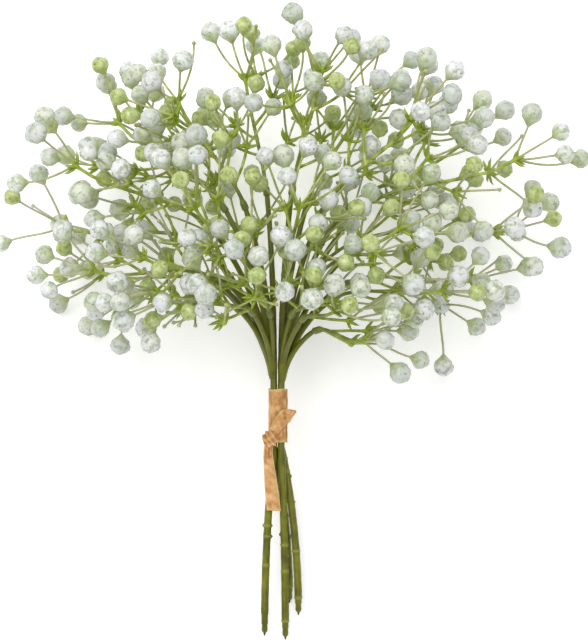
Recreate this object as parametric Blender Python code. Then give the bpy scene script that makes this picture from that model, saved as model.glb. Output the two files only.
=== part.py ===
"""A tied bunch of artificial gypsophila, lying on a surface.

Four moulded stems, each with a steel wire in it, are held together by a knotted paper strip. Above the
strip the stems branch, and every branch ends in a pin with a moulded flower spray pushed over it.

Sizes are in millimetres and MM turns them into Blender's metres. The bunch has a frame of its own: X to the
right, Y from the cut ends to the flowers, Z up to the viewer, with its origin in the middle of the paper
strip. One empty tilts that frame, so that the cut ends and the lowest buds touch the surface.
"""

import math
import random
from collections import namedtuple

import bmesh
import bpy
import numpy as np
from mathutils import Vector

MM = 0.001

# The way the bunch lies
TILT = 12.0  # degrees that the flower head lies higher than the cut ends
LIFT = 25.0  # height of the middle of the strip over the surface
RESTING_SHARE = 0.78  # height of a resting bud's middle, in its own radii

# Stems
STEM_R = 1.8
STEM_R_IN_STRIP = 1.6
STEM_SPACING = 3.5  # between the middles of two stems inside the strip
STEM_SIDES = 8
CUT_END_R = 1.45
CUT_TAPER = 1.5  # length over which a stem narrows to its cut end
RING_HALF_LENGTH = 0.9
RING_SHAPE = ((-1, 0.0), (0, 0.35), (1, 0.0))  # of a small growth ring: places along it, and its rise
STRIP_TOP = 12.8
STRIP_BOTTOM = -12.5
FAN_POINT = np.array((0.0, STRIP_TOP, 0.0))  # the branches spread from here

# Core wires
WIRE_R = 0.55
WIRE_BORE_R = 1.0
WIRE_TIP = 1.5  # length that shows past the cut end
WIRE_IN_STRIP = 20.0  # how far the wire reaches into the stretch held by the strip

# Branches, and the pins that carry the sprays
BRANCH_R = (1.45, 1.2)
BRANCH_ROOT_R = 0.8
BRANCH_ROOT_LENGTH = 5.0  # over which a branch comes to its full thickness
LOWEST_FORK = 1.5  # above the strip
FORK_SHARE = 0.12  # the straighter and longer a branch, the higher it forks off
FORK_LEAN = 0.6  # how much of the way to its socket a branch takes in as it leaves the stem
ROOT_SUNK = 0.6  # how far below its fork a branch starts, inside the stem
STEEPNESS = (0.52, 0.85)  # a socket's shares of its spray's lean to the side and to the viewer
SOCKET_HEADING = 0.92  # the share of the side lean that a socket points at
DROOP = (1.22, 0.7)  # shares of the two leans that a spray's main stalk ends with
BRANCH_SIDES = 5
PIN_R = 0.7
PIN_LENGTH = 3.4
SOCKET_BORE_R = 1.15
SOCKET_R = 1.75
SOCKET_DEPTH = 3.8
SEAT_GAP = 0.3

# Sprays
STALK_R = (0.95, 0.75)
SOCKET_CONE = 3.0  # from the socket down to the stalk
STALK_SIDES = 5
SIDE_STALK_R = 0.72
SIDE_STALK_SIDES = 4
SIDE_STALK_LEAN = (38, 56)
SIDE_STALK_LENGTH = (13, 20)
SIDE_STALK_WOBBLE = 30  # degrees either way
SIDE_STALK_RETRY = 37  # degrees from one try to the next
FIRST_SIDE_STALK = 0.34  # share of the main stalk below the first side stalk
SIDE_STALKS_OVER = 0.52  # share of the main stalk that they are spread over
GOLDEN_TURN = 137.5  # degrees from one side stalk to the next
KNUCKLE_R = 1.6  # the small swelling that the flower stalks grow from
FLOWER_STALK_R = 0.62
FLOWER_STALK_SIDES = 3
FLOWER_LEAN = (24, 52)
FLOWER_LENGTH = (17, 27)
FLOWER_WOBBLE = 25
FLOWER_RETRY = (11, 0.2)  # degrees further round and length less at each try
FLOWER_OUTWARD = 0.45  # how strongly a flower stalk leaves sideways
FLOWER_BEND = (-0.5, 0.35)  # how strongly its end bends inward or outward
NEAR_KNUCKLE = 4.5  # flower stalks may touch each other within this distance of their knuckle
SIDE_KNUCKLE_FLOWERS = 3
ROOT = 0.5  # where a flower stalk starts, from the middle of its knuckle
ROOT_R = 0.5
KINDS = ("white", "green", "bare")
KIND_WEIGHTS = (80, 15, 5)
BUD_R = (4.4, 5.4)
GREEN_BUD_R = 4.2
BUD_SIDES = 5
BUD_SEAT = 0.85  # a bud's middle lies this share of its radius past its stalk
KNOB_R = 1.1
FACET_ROUND = 1.08  # a faceted ball this much wider holds about the volume of the round one
CLEARANCE = 0.5  # between the pieces of different sprays and stems
TRIES = 40
ARC_POINTS = 9  # of each curve of a stem or branch
STEM_OWNER = 100  # added to a stem's number, to tell it from the sprays among the placed pieces
# Short edges left where shapes were fused are closed up, to the first of these lengths that leaves a shape whole
SEAM_TIDIES = (0.2, 0.1, 0.03)

# Each stem: its name, its place in the strip as signs of X and Z, its cut end, and the distance of its
# growth rings from that end
Stem = namedtuple("Stem", "name place cut_end rings")
STEMS = (
    Stem("stem_front_left", (-1, 1), (-6.1, -102.4, 1.0), (32.0, 45.6)),
    Stem("stem_front_right", (1, 1), (3.7, -104.3, 0.6), (31.0, 43.3)),
    Stem("stem_back_right", (1, -1), (9.9, -92.9, -1.2), (15.0, 29.0)),
    Stem("stem_back_left", (-1, -1), (5.6, -87.7, -5.9), (26.0,)),
)

# Each spray: its stem, the degrees that it leans to the right and towards the viewer, the distances of its
# socket and of its last knuckle from the fan point, and the numbers of its side and of its flower stalks
Spray = namedtuple("Spray", "stem side out socket reach sides flowers")
SPRAYS = (
    Spray(0, -19, 9, 86, 144, 3, 4),
    Spray(0, -42, 8, 80, 142, 3, 4),
    Spray(0, -57, 12, 60, 104, 2, 4),
    Spray(0, -47, 31, 44, 76, 1, 4),
    Spray(0, -45, 28, 56, 98, 2, 4),
    Spray(0, -24, 30, 60, 106, 2, 4),
    Spray(0, -10, 42, 42, 70, 1, 4),
    Spray(0, -32, 44, 46, 70, 0, 5),
    Spray(1, 8, 10, 92, 152, 3, 4),
    Spray(1, 27, 10, 86, 146, 3, 4),
    Spray(1, 46, 8, 90, 156, 3, 4),
    Spray(1, 59, 17, 50, 94, 2, 4),
    Spray(1, 37, 28, 60, 106, 2, 4),
    Spray(1, 7, 30, 58, 98, 2, 4),
    Spray(1, 20, 42, 42, 68, 1, 4),
    Spray(1, 61, 32, 36, 55, 1, 4),
    Spray(1, 36, 46, 44, 66, 0, 5),
    Spray(2, 17, -7, 88, 148, 2, 4),
    Spray(2, 37, -8, 86, 148, 2, 4),
    Spray(2, 56, -4, 78, 136, 3, 4),
    Spray(2, 61, -10, 58, 108, 2, 4),
    Spray(2, 33, -18, 58, 106, 1, 4),
    Spray(3, -6, -6, 92, 150, 2, 4),
    Spray(3, -31, -7, 88, 150, 3, 4),
    Spray(3, -53, -5, 76, 129, 2, 4),
    Spray(3, -57, -12, 56, 103, 2, 4),
    Spray(3, -18, -18, 58, 108, 1, 4),
)
# The two sprays with a low bud that the head rests on, and where those buds lie, as X and Y
RESTING_BUDS = {17: (40.0, 140.0), 23: (-62.0, 132.0)}
SEED = 11

# Paper strip
PAPER = 0.6
LOOP_INNER = 3.7  # half the clear width of the loop round the stems
LOOP_POINTS = 16
KNOT_MIDDLE = (-2.8, -9.8, 5.75)
KNOT_R = (4.0, 3.6, 1.9)
SHORT_END = ((-3.0, -9.5, 5.2), (0.5, -3.5, 4.6), (4.2, 0.6, 4.6), (8.8, 2.4, 4.2))
SHORT_END_WIDTHS = (3.6, 5.2, 6.6, 0.9)
TAIL = ((-3.6, -10.5, 5.4), (-4.5, -17.0, 5.3), (-3.7, -26.0, 4.8), (-2.6, -36.0, 5.2), (-1.7, -44.5, 4.7))
TAIL_WIDTHS = (4.0, 4.3, 5.4, 6.5, 6.65)


def unit(v):
    return v / np.linalg.norm(v)


def direction(side, out):
    """The unit vector that leans side degrees to the right of +Y and out degrees towards the viewer."""
    a, b = math.radians(side), math.radians(out)
    return np.array((math.sin(a) * math.cos(b), math.cos(a) * math.cos(b), math.sin(b)))


def arc(start, leaving, end, arriving, count=ARC_POINTS):
    """Points on the cubic from start to end that leaves and arrives in the given directions."""
    start, end = np.asarray(start, float), np.asarray(end, float)
    t = np.linspace(0.0, 1.0, count)[:, None]
    span = np.linalg.norm(end - start)
    along = (2 * t**3 - 3 * t**2 + 1) * start + (3 * t**2 - 2 * t**3) * end
    return along + span * ((t**3 - 2 * t**2 + t) * leaving + (t**3 - t**2) * arriving)


class Line:
    """A smooth line through points, read by the distance along it, with a pair of cross directions."""

    def __init__(self, points):
        keep = np.append(True, np.linalg.norm(np.diff(points, axis=0), axis=1) > 1e-6)
        self.points = np.asarray(points)[keep]
        steps = np.diff(self.points, axis=0)
        lengths = np.linalg.norm(steps, axis=1)
        self.distance = np.append(0.0, np.cumsum(lengths))
        self.length = self.distance[-1]
        chords = steps / lengths[:, None]
        self.tangents = np.vstack((chords[:1], chords[:-1] + chords[1:], chords[-1:]))
        self.tangents /= np.linalg.norm(self.tangents, axis=1)[:, None]
        across = np.cross(self.tangents[0], (0.0, 0.0, 1.0))
        if np.linalg.norm(across) < 0.1:
            across = np.array((1.0, 0.0, 0.0))
        self.across = []
        for tangent in self.tangents:
            across = unit(across - tangent * (across @ tangent))
            self.across.append(across)
        self.across = np.array(self.across)

    def read(self, table, s):
        return np.array([np.interp(s, self.distance, column) for column in table.T])

    def at(self, s):
        """The point, the direction and the two cross directions, also past the line's ends."""
        tangent = unit(self.read(self.tangents, s))
        beyond = min(s, 0.0) + max(s - self.length, 0.0)
        point = self.read(self.points, s) + beyond * tangent
        across = self.read(self.across, s)
        across = unit(across - tangent * (across @ tangent))
        return point, tangent, across, np.cross(tangent, across)


class Room:
    """The rods and balls that are already placed, to keep new ones clear of them."""

    def __init__(self):
        self.starts = np.empty((0, 3))
        self.ends = np.empty((0, 3))
        self.radii = np.empty(0)
        self.owners = np.empty(0, int)
        self.balls = np.empty(0, bool)

    def add(self, rods, owner):
        for start, end, radius in rods:
            self.starts = np.vstack((self.starts, start))
            self.ends = np.vstack((self.ends, end))
            self.radii = np.append(self.radii, radius)
            self.owners = np.append(self.owners, owner)
            self.balls = np.append(self.balls, np.linalg.norm(end - start) < 0.1)

    def gap(self, rod, chosen):
        """The least gap between one rod and those of the placed ones that are chosen."""
        if not chosen.any():
            return math.inf
        start, end, radius = rod
        u = end - start
        v = self.ends[chosen] - self.starts[chosen]
        w = start - self.starts[chosen]
        uu, vv, uv = u @ u, (v * v).sum(axis=1), v @ u
        uw, vw = w @ u, (v * w).sum(axis=1)
        s = np.clip((uv * vw - vv * uw) / np.maximum(uu * vv - uv * uv, 1e-9), 0.0, 1.0)
        t = np.clip((uv * s + vw) / vv, 0.0, 1.0)
        s = np.clip((uv * t - uw) / uu, 0.0, 1.0)
        apart = np.linalg.norm(w + s[:, None] * u - t[:, None] * v, axis=1)
        return (apart - self.radii[chosen] - radius).min()

    def is_free(self, rods, owner):
        """True if the rods stay clear of all other pieces, of the surface, and of this piece's buds."""
        others = self.owners != owner
        own_balls = (self.owners == owner) & self.balls
        for rod in rods:
            low = min(height(rod[0]), height(rod[1])) - rod[2]
            if low < CLEARANCE or self.gap(rod, others) < CLEARANCE:
                return False
            if self.gap(rod, own_balls) < CLEARANCE:
                return False
        return True


def height(point):
    """Height of a point of the bunch over the surface."""
    tilt = math.radians(TILT)
    return LIFT + point[1] * math.sin(tilt) + point[2] * math.cos(tilt)


def rods_of(line, low, high, radius, pieces):
    """A stretch of a line as a few straight round rods."""
    points = [line.at(s)[0] for s in np.linspace(low, high, pieces + 1)]
    return [(a, b, radius) for a, b in zip(points, points[1:])]


def ball(centre, radius):
    return (centre, centre + np.array((0.0, 0.0, 0.01)), radius)


def socket_place(spray):
    """Where a spray's socket lies and which way it points: branches leave steeply, then bend outward."""
    place = FAN_POINT + spray.socket * direction(spray.side * STEEPNESS[0], spray.out * STEEPNESS[1])
    return place, direction(spray.side * SOCKET_HEADING, spray.out)


def stem_line(stem, leader):
    """From the cut end up through the strip, and on to the socket of the stem's first spray."""
    offset = np.array((stem.place[0], 0.0, stem.place[1])) * STEM_SPACING / 2
    low = offset + np.array((0.0, STRIP_BOTTOM - 2.0, 0.0))
    high = offset + np.array((0.0, STRIP_TOP + 1.0, 0.0))
    cut_end = np.array(stem.cut_end)
    up = np.array((0.0, 1.0, 0.0))
    leaning = unit(low - cut_end)
    below = arc(cut_end, up, low, unit(leaning * 2 - up))
    tip, heading = socket_place(leader)
    above = arc(high, up, tip, heading)
    return Line(np.vstack((below, above)))


def limb_line(spray, stem_path, is_leader):
    """Along one branch, and on through the socket to the end of its spray. The leader's is the stem's own."""
    tip, heading = socket_place(spray)
    end = FAN_POINT + spray.reach * direction(spray.side, spray.out)
    droop = direction(spray.side * DROOP[0], spray.out * DROOP[1])
    stalk = arc(tip, heading, end, droop)
    if is_leader:
        return Line(np.vstack((stem_path.points[-ARC_POINTS:], stalk)))
    rise = LOWEST_FORK + FORK_SHARE * spray.socket * math.cos(math.radians(spray.side)) ** 2
    fork = stem_path.distance[ARC_POINTS] + rise
    start, along, _, _ = stem_path.at(fork)
    start = start - ROOT_SUNK * along
    leaving = unit(along + FORK_LEAN * unit(tip - start))
    return Line(np.vstack((arc(start, leaving, tip, heading), stalk)))


def grow():
    """Works out every line, knuckle and bud of the bunch, each clear of its neighbours."""
    room = Room()
    stems = []
    limbs = []
    for index, stem in enumerate(STEMS):
        own = [number for number, spray in enumerate(SPRAYS) if spray.stem == index]
        path = stem_line(stem, SPRAYS[own[0]])
        stems.append(path)
        room.add(rods_of(path, 0.0, path.length, STEM_R, 24), STEM_OWNER + index)
        for number in own:
            limb = limb_line(SPRAYS[number], path, number == own[0])
            socket = limb.distance[ARC_POINTS - 1]
            limbs.append((number, limb, socket))
            room.add(rods_of(limb, BRANCH_ROOT_LENGTH, socket, BRANCH_R[0], 5), STEM_OWNER + index)
    for number, limb, socket in limbs:
        cone = socket + SOCKET_DEPTH + SOCKET_CONE
        room.add(rods_of(limb, socket, cone, SOCKET_R, 1), number)
        room.add(rods_of(limb, cone, limb.length, STALK_R[0], 5), number)

    sprays = []
    for number, limb, socket in limbs:
        sprays.append({"limb": limb, "socket": socket, "stalks": [], "flowers": [], "knuckles": []})
        add_side_stalks(sprays[-1], number, room)
    for number, (x, y) in RESTING_BUDS.items():
        add_resting_bud(sprays[number], number, x, y, room)
    most = max(len(spray["knuckles"]) for spray in sprays)
    for turn in range(most):
        for number, spray in enumerate(sprays):
            if turn < len(spray["knuckles"]):
                add_flowers(spray, number, turn, room)
    return stems, sprays


def add_side_stalks(spray, number, room):
    """Side stalks turn round the main stalk, and each ends in a knuckle, as the main stalk does."""
    facts = SPRAYS[number]
    draw = random.Random(SEED * 100 + number)
    limb, socket = spray["limb"], spray["socket"]
    stalk_length = limb.length - socket
    turn = draw.uniform(0.0, 360.0)
    for index in range(facts.sides):
        share = FIRST_SIDE_STALK + SIDE_STALKS_OVER * index / facts.sides
        for attempt in range(TRIES):
            wobble = draw.uniform(-SIDE_STALK_WOBBLE, SIDE_STALK_WOBBLE)
            angle = math.radians(turn + wobble + attempt * SIDE_STALK_RETRY)
            lean = math.radians(draw.uniform(*SIDE_STALK_LEAN))
            length = draw.uniform(*SIDE_STALK_LENGTH)
            start, along, across, other = limb.at(socket + share * stalk_length)
            sideways = math.cos(angle) * across + math.sin(angle) * other
            heading = unit(math.cos(lean) * along + math.sin(lean) * sideways)
            ending = unit(heading + 0.35 * along)
            line = Line(arc(start, unit(heading + 0.3 * sideways), start + length * heading, ending, 5))
            rods = rods_of(line, 3.0, line.length, KNUCKLE_R, 2)
            if room.is_free(rods, number):
                room.add(rods, number)
                spray["stalks"].append(line)
                spray["knuckles"].append(line)
                break
        turn += GOLDEN_TURN
    spray["knuckles"].append(limb)


def add_resting_bud(spray, number, x, y, room):
    """A bud on the spray's end knuckle that hangs down to the surface."""
    tilt = math.radians(TILT)
    start, along, _, _ = spray["limb"].at(spray["limb"].length)
    radius = BUD_R[1]
    rise = radius * RESTING_SHARE
    centre = np.array((x, y, (rise - LIFT - y * math.sin(tilt)) / math.cos(tilt)))
    down = unit(np.array((0.0, -math.sin(tilt), -math.cos(tilt))) + unit(centre - start))
    line = Line(arc(start, unit(centre - start + 6.0 * along), centre - radius * down, down, 7))
    room.add(rods_of(line, 3.0, line.length, FLOWER_STALK_R + 0.1, 3), number)
    room.add([ball(centre, radius * FACET_ROUND)], number)
    spray["flowers"].append((line, radius, "white"))


def add_flowers(spray, number, index, room):
    """Curved flower stalks spread from one knuckle, each with a bud or, now and then, a bare knob."""
    draw = random.Random(SEED * 10000 + number * 10 + index)
    knuckle = spray["knuckles"][index]
    centre, along, across, other = knuckle.at(knuckle.length)
    last = index == len(spray["knuckles"]) - 1
    count = SPRAYS[number].flowers if last else SIDE_KNUCKLE_FLOWERS
    turn = draw.uniform(0.0, 360.0)
    for flower in range(count):
        for attempt in range(TRIES):
            wobble = draw.uniform(-FLOWER_WOBBLE, FLOWER_WOBBLE)
            angle = math.radians(turn + 360.0 * flower / count + wobble + attempt * FLOWER_RETRY[0])
            lean = math.radians(draw.uniform(*FLOWER_LEAN))
            length = draw.uniform(*FLOWER_LENGTH) - FLOWER_RETRY[1] * attempt
            sideways = math.cos(angle) * across + math.sin(angle) * other
            heading = math.cos(lean) * along + math.sin(lean) * sideways
            bend = unit(heading + draw.uniform(*FLOWER_BEND) * sideways)
            leaving = unit(heading + FLOWER_OUTWARD * sideways)
            line = Line(arc(centre, leaving, centre + length * heading, bend, 7))
            kind = draw.choices(KINDS, KIND_WEIGHTS)[0]
            radius = {"white": draw.uniform(*BUD_R), "green": GREEN_BUD_R, "bare": KNOB_R}[kind]
            end = line.at(line.length + radius * BUD_SEAT)[0]
            rods = rods_of(line, NEAR_KNUCKLE, line.length, FLOWER_STALK_R + 0.1, 2)
            rods.append(ball(end, radius * FACET_ROUND))
            if room.is_free(rods, number):
                room.add(rods, number)
                spray["flowers"].append((line, radius, kind))
                break


# Mesh tools


def stitch(bm, low, high, slot=0):
    """Joins two rings of any counts with triangles. A ring of one point is a pole."""
    steps_low = len(low) if len(low) > 1 else 0
    steps_high = len(high) if len(high) > 1 else 0
    i = j = 0
    while i < steps_low or j < steps_high:
        if j == steps_high or (i < steps_low and (i + 1) * steps_high <= (j + 1) * steps_low):
            corners = (low[i], low[(i + 1) % len(low)], high[j % len(high)])
            i += 1
        else:
            corners = (low[i % len(low)], high[(j + 1) % len(high)], high[j])
            j += 1
        bm.faces.new(corners).material_index = slot


def sweep(bm, line, rows, shape=None, closed=False, second_from=None):
    """Carries rings along a line. A row is distance, radius, number of sides and turn in steps.

    A shape gives the radius a factor at each angle. Closed rows come back to their first ring. Faces
    past the row second_from take the object's second material.
    """
    rings = []
    for s, radius, sides, turn in rows:
        point, _, across, other = line.at(s)
        ring = []
        for k in range(sides):
            a = 2 * math.pi * (k + turn) / sides
            reach = radius * (shape(a) if shape else 1.0)
            ring.append(bm.verts.new(point + reach * (math.cos(a) * across + math.sin(a) * other)))
        rings.append(ring)
    for number, (low, high) in enumerate(zip(rings, rings[1:])):
        stitch(bm, low, high, int(second_from is not None and number >= second_from))
    if closed:
        stitch(bm, rings[-1], rings[0])
        return
    if len(rings[0]) > 1:
        bm.faces.new(rings[0][::-1])
    if len(rings[-1]) > 1:
        bm.faces.new(rings[-1])


def ribbon(bm, points, widths, thickness, normal):
    """Carries a flat strip through points, with its width at each of them."""
    line = Line(np.array(points))
    rings = []
    for s, width in zip(line.distance, widths):
        point, tangent, _, _ = line.at(s)
        across = unit(np.cross(tangent, normal))
        up = np.cross(across, tangent)
        corners = ((-1, -1), (1, -1), (1, 1), (-1, 1))
        rings.append([
            bm.verts.new(point + across * a * width / 2 + up * b * thickness / 2) for a, b in corners
        ])
    for low, high in zip(rings, rings[1:]):
        stitch(bm, low, high)
    bm.faces.new(rings[0][::-1])
    bm.faces.new(rings[-1])


def mesh_object(name, bm, origin, materials, collection=None):
    """Makes an object of a bmesh in millimetres, with its own origin at a point of the bunch."""
    bmesh.ops.recalc_face_normals(bm, faces=bm.faces)
    bmesh.ops.triangulate(bm, faces=bm.faces)
    bmesh.ops.translate(bm, verts=bm.verts, vec=-Vector(origin))
    bmesh.ops.scale(bm, verts=bm.verts, vec=(MM, MM, MM))
    mesh = bpy.data.meshes.new(name)
    bm.to_mesh(mesh)
    bm.free()
    for material in materials:
        mesh.materials.append(material)
    obj = bpy.data.objects.new(name, mesh)
    obj.location = Vector(origin) * MM
    (collection or bpy.context.scene.collection).objects.link(obj)
    return obj


def fuse(obj, pieces, solver):
    """Joins a collection of closed pieces to an object by one Boolean, and removes the pieces."""
    boolean = obj.modifiers.new("fuse", "BOOLEAN")
    boolean.operation = "UNION"
    boolean.operand_type = "COLLECTION"
    boolean.collection = pieces
    boolean.solver = solver
    depsgraph = bpy.context.evaluated_depsgraph_get()
    depsgraph.update()
    mesh = bpy.data.meshes.new_from_object(obj.evaluated_get(depsgraph))
    obj.modifiers.clear()
    obj.data = mesh
    for shortest in SEAM_TIDIES:
        bm = bmesh.new()
        bm.from_mesh(mesh)
        bmesh.ops.triangulate(bm, faces=bm.faces)
        bmesh.ops.dissolve_degenerate(bm, edges=bm.edges, dist=shortest * MM)
        bmesh.ops.triangulate(bm, faces=bm.faces)
        whole = all(edge.is_manifold for edge in bm.edges)
        if whole:
            bm.to_mesh(mesh)
        bm.free()
        if whole:
            break
    for piece in list(pieces.objects):
        bpy.data.objects.remove(piece)
    bpy.data.collections.remove(pieces)


def new_pieces(name):
    pieces = bpy.data.collections.new(name)
    bpy.context.scene.collection.children.link(pieces)
    return pieces


def material(name, colour, roughness, metallic=0.0):
    """A Principled material from an sRGB hex colour."""
    made = bpy.data.materials.new(name)
    made.use_nodes = True
    shader = made.node_tree.nodes["Principled BSDF"]
    parts = [int(colour[k:k + 2], 16) / 255 for k in (0, 2, 4)]
    linear = [c / 12.92 if c <= 0.04045 else ((c + 0.055) / 1.055) ** 2.4 for c in parts]
    shader.inputs["Base Color"].default_value = (*linear, 1.0)
    shader.inputs["Roughness"].default_value = roughness
    shader.inputs["Metallic"].default_value = metallic
    made.diffuse_color = (*linear, 1.0)
    return made


# Pieces


def make_stem(index, path, sprays, green):
    """One moulded stem with its branches and their pins, and a blind bore for its wire."""
    stem = STEMS[index]
    own = [number for number, spray in enumerate(SPRAYS) if spray.stem == index]
    strip_start = path.distance[ARC_POINTS - 1]
    strip_end = path.distance[ARC_POINTS] + 1.0
    stations = wire_stations(path)
    bore = [(s, WIRE_BORE_R, 6, 0) for s in stations[::-1]]
    rows = [(stations[-1], 0.0, 1, 0)] + bore + [(0.0, CUT_END_R, STEM_SIDES, 0)]
    marks = [(s, STEM_R) for s in (CUT_TAPER, *stations[1:-2])]
    for ring in stem.rings:
        marks += [(ring + step * RING_HALF_LENGTH, STEM_R + rise) for step, rise in RING_SHAPE]
    rows += [(s, radius, STEM_SIDES, 0) for s, radius in sorted(marks)]
    rows += [(s, STEM_R_IN_STRIP, STEM_SIDES, 0) for s in (strip_start, strip_end)]
    leader = sprays[own[0]]
    rest = path.length - strip_end
    rows += [(strip_end + rest * share, STEM_R_IN_STRIP * (1 - share) + BRANCH_R[1] * share, 6, 0)
             for share in (0.3, 0.65, 1.0)]
    rows += pin_rows(path.length)
    bm = bmesh.new()
    sweep(bm, path, rows)
    origin = path.at(strip_start)[0]
    body = mesh_object(stem.name, bm, origin, [green])
    pieces = new_pieces(stem.name + "_branches")
    for number in own[1:]:
        limb, socket = sprays[number]["limb"], sprays[number]["socket"]
        bm = bmesh.new()
        steps = [(0.0, BRANCH_ROOT_R, BRANCH_SIDES, 0), (BRANCH_ROOT_LENGTH, BRANCH_R[0], BRANCH_SIDES, 0)]
        steps += [(socket * share, BRANCH_R[0] * (1 - share) + BRANCH_R[1] * share, BRANCH_SIDES, 0)
                  for share in (0.5, 1.0)]
        sweep(bm, limb, steps + pin_rows(socket))
        mesh_object(stem.name + "_branch", bm, origin, [green], pieces)
    fuse(body, pieces, "EXACT")
    return body


def wire_stations(path):
    """The distances at which the wire and its bore follow the stem's bend, to the end inside the strip."""
    strip_start = path.distance[ARC_POINTS - 1]
    return [0.0, strip_start / 3, strip_start * 2 / 3, strip_start, strip_start + WIRE_IN_STRIP]


def pin_rows(end):
    """The pin past a branch's end, which a spray's socket goes over."""
    return [
        (end, PIN_R, BRANCH_SIDES, 0),
        (end + PIN_LENGTH, PIN_R, BRANCH_SIDES, 0),
    ]


def make_wire(index, path, steel):
    """The steel core, which shows as a pointed tip at the cut end."""
    stations = wire_stations(path)
    stations[-1] -= SEAT_GAP
    rows = [(-WIRE_TIP, 0.0, 1, 0), (-WIRE_TIP * 0.5, WIRE_R, 6, 0)]
    rows += [(s, WIRE_R, 6, 0) for s in stations]
    bm = bmesh.new()
    sweep(bm, path, rows)
    return mesh_object(STEMS[index].name.replace("stem", "wire"), bm, path.at(0.0)[0], [steel])


def make_spray(number, spray, stalk_green, bud_white):
    """One moulded spray: the socket and main stalk, with the side stalks, flower stalks and buds fused on."""
    limb, socket = spray["limb"], spray["socket"]
    mouth = socket + SEAT_GAP
    rest = limb.length - socket
    rows = [
        (mouth + SOCKET_DEPTH, 0.0, 1, 0),
        (mouth + SOCKET_DEPTH, SOCKET_BORE_R, STALK_SIDES, 0),
        (mouth, SOCKET_BORE_R, STALK_SIDES, 0),
        (mouth, SOCKET_R, STALK_SIDES, 0),
        (mouth + SOCKET_DEPTH, SOCKET_R, STALK_SIDES, 0),
        (mouth + SOCKET_DEPTH + SOCKET_CONE, STALK_R[0], STALK_SIDES, 0),
        (socket + rest * 0.45, STALK_R[0], STALK_SIDES, 0),
        (socket + rest * 0.75, STALK_R[1], STALK_SIDES, 0),
        (limb.length, KNUCKLE_R, STALK_SIDES, 0),
        (limb.length + KNUCKLE_R, 0.0, 1, 0),
    ]
    bm = bmesh.new()
    sweep(bm, limb, rows)
    origin = limb.at(mouth)[0]
    name = f"spray_{number + 1:02d}"
    body = mesh_object(name, bm, origin, [stalk_green, bud_white])
    pieces = new_pieces(name + "_pieces")
    for line in spray["stalks"]:
        bm = bmesh.new()
        rows = [
            (-ROOT, SIDE_STALK_R, SIDE_STALK_SIDES, 0),
            (line.length * 0.5, SIDE_STALK_R, SIDE_STALK_SIDES, 0),
            (line.length, KNUCKLE_R, SIDE_STALK_SIDES, 0),
            (line.length + KNUCKLE_R, 0.0, 1, 0),
        ]
        sweep(bm, line, rows)
        mesh_object("side_stalk", bm, origin, [stalk_green, bud_white], pieces)
    for line, radius, kind in spray["flowers"]:
        bm = bmesh.new()
        places = ((ROOT, ROOT_R), (line.length * 0.5, FLOWER_STALK_R), (line.length, FLOWER_STALK_R))
        rows = [(s, thick, FLOWER_STALK_SIDES, 0) for s, thick in places]
        if kind == "bare":
            rows += [(line.length + radius, radius, FLOWER_STALK_SIDES, 0)]
            rows += [(line.length + 2 * radius, 0.0, 1, 0)]
        else:
            rows += bud_rows(line.length, radius)
        sweep(bm, line, rows, second_from=None if kind == "bare" else len(places) - 1)
        mesh_object("flower_stalk", bm, origin, [stalk_green, bud_white], pieces)
    fuse(body, pieces, "EXACT")
    return body


def bud_rows(start, radius):
    """A faceted ball of two rings and a pole, whose lower pole is the flower stalk's end."""
    centre = start + radius * BUD_SEAT
    wide = radius * FACET_ROUND
    return [
        (centre - 0.447 * wide, 0.894 * wide, BUD_SIDES, 0),
        (centre + 0.447 * wide, 0.894 * wide, BUD_SIDES, 0.5),
        (centre + wide, 0.0, 1, 0),
    ]


def square_loop(angle):
    """Factor of a rounded square's radius at an angle: one over the fourth root of cos^4 + sin^4."""
    return (math.cos(angle) ** 4 + math.sin(angle) ** 4) ** -0.25


def make_strip(paper):
    """The paper strip: a loop round the stems, with the knot, the short end and the tail fused on."""
    up = Line(np.array(((0.0, STRIP_BOTTOM, 0.0), (0.0, STRIP_TOP, 0.0))))
    outer = LOOP_INNER + PAPER
    rows = [
        (up.length, LOOP_INNER, LOOP_POINTS, 0),
        (0.0, LOOP_INNER, LOOP_POINTS, 0),
        (0.0, outer, LOOP_POINTS, 0),
        (up.length * 0.45, outer - 0.1, LOOP_POINTS, 0),
        (up.length * 0.8, outer + 0.1, LOOP_POINTS, 0),
        (up.length, outer, LOOP_POINTS, 0),
    ]
    bm = bmesh.new()
    sweep(bm, up, rows, square_loop, closed=True)
    origin = (0.0, 0.0, 0.0)
    body = mesh_object("paper_strip", bm, origin, [paper])
    pieces = new_pieces("strip_pieces")
    bm = bmesh.new()
    bmesh.ops.create_icosphere(bm, subdivisions=2, radius=1.0)
    for vert in bm.verts:
        fold = 1.0 + 0.12 * math.sin(5.0 * vert.co.x + 3.0 * vert.co.y)
        vert.co = [middle + r * c * fold for middle, r, c in zip(KNOT_MIDDLE, KNOT_R, vert.co)]
    mesh_object("knot", bm, origin, [paper], pieces)
    for name, points, widths in (("short_end", SHORT_END, SHORT_END_WIDTHS), ("tail", TAIL, TAIL_WIDTHS)):
        bm = bmesh.new()
        ribbon(bm, points, widths, PAPER, np.array((0.0, 0.0, 1.0)))
        mesh_object(name, bm, origin, [paper], pieces)
    fuse(body, pieces, "EXACT")
    return body


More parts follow.
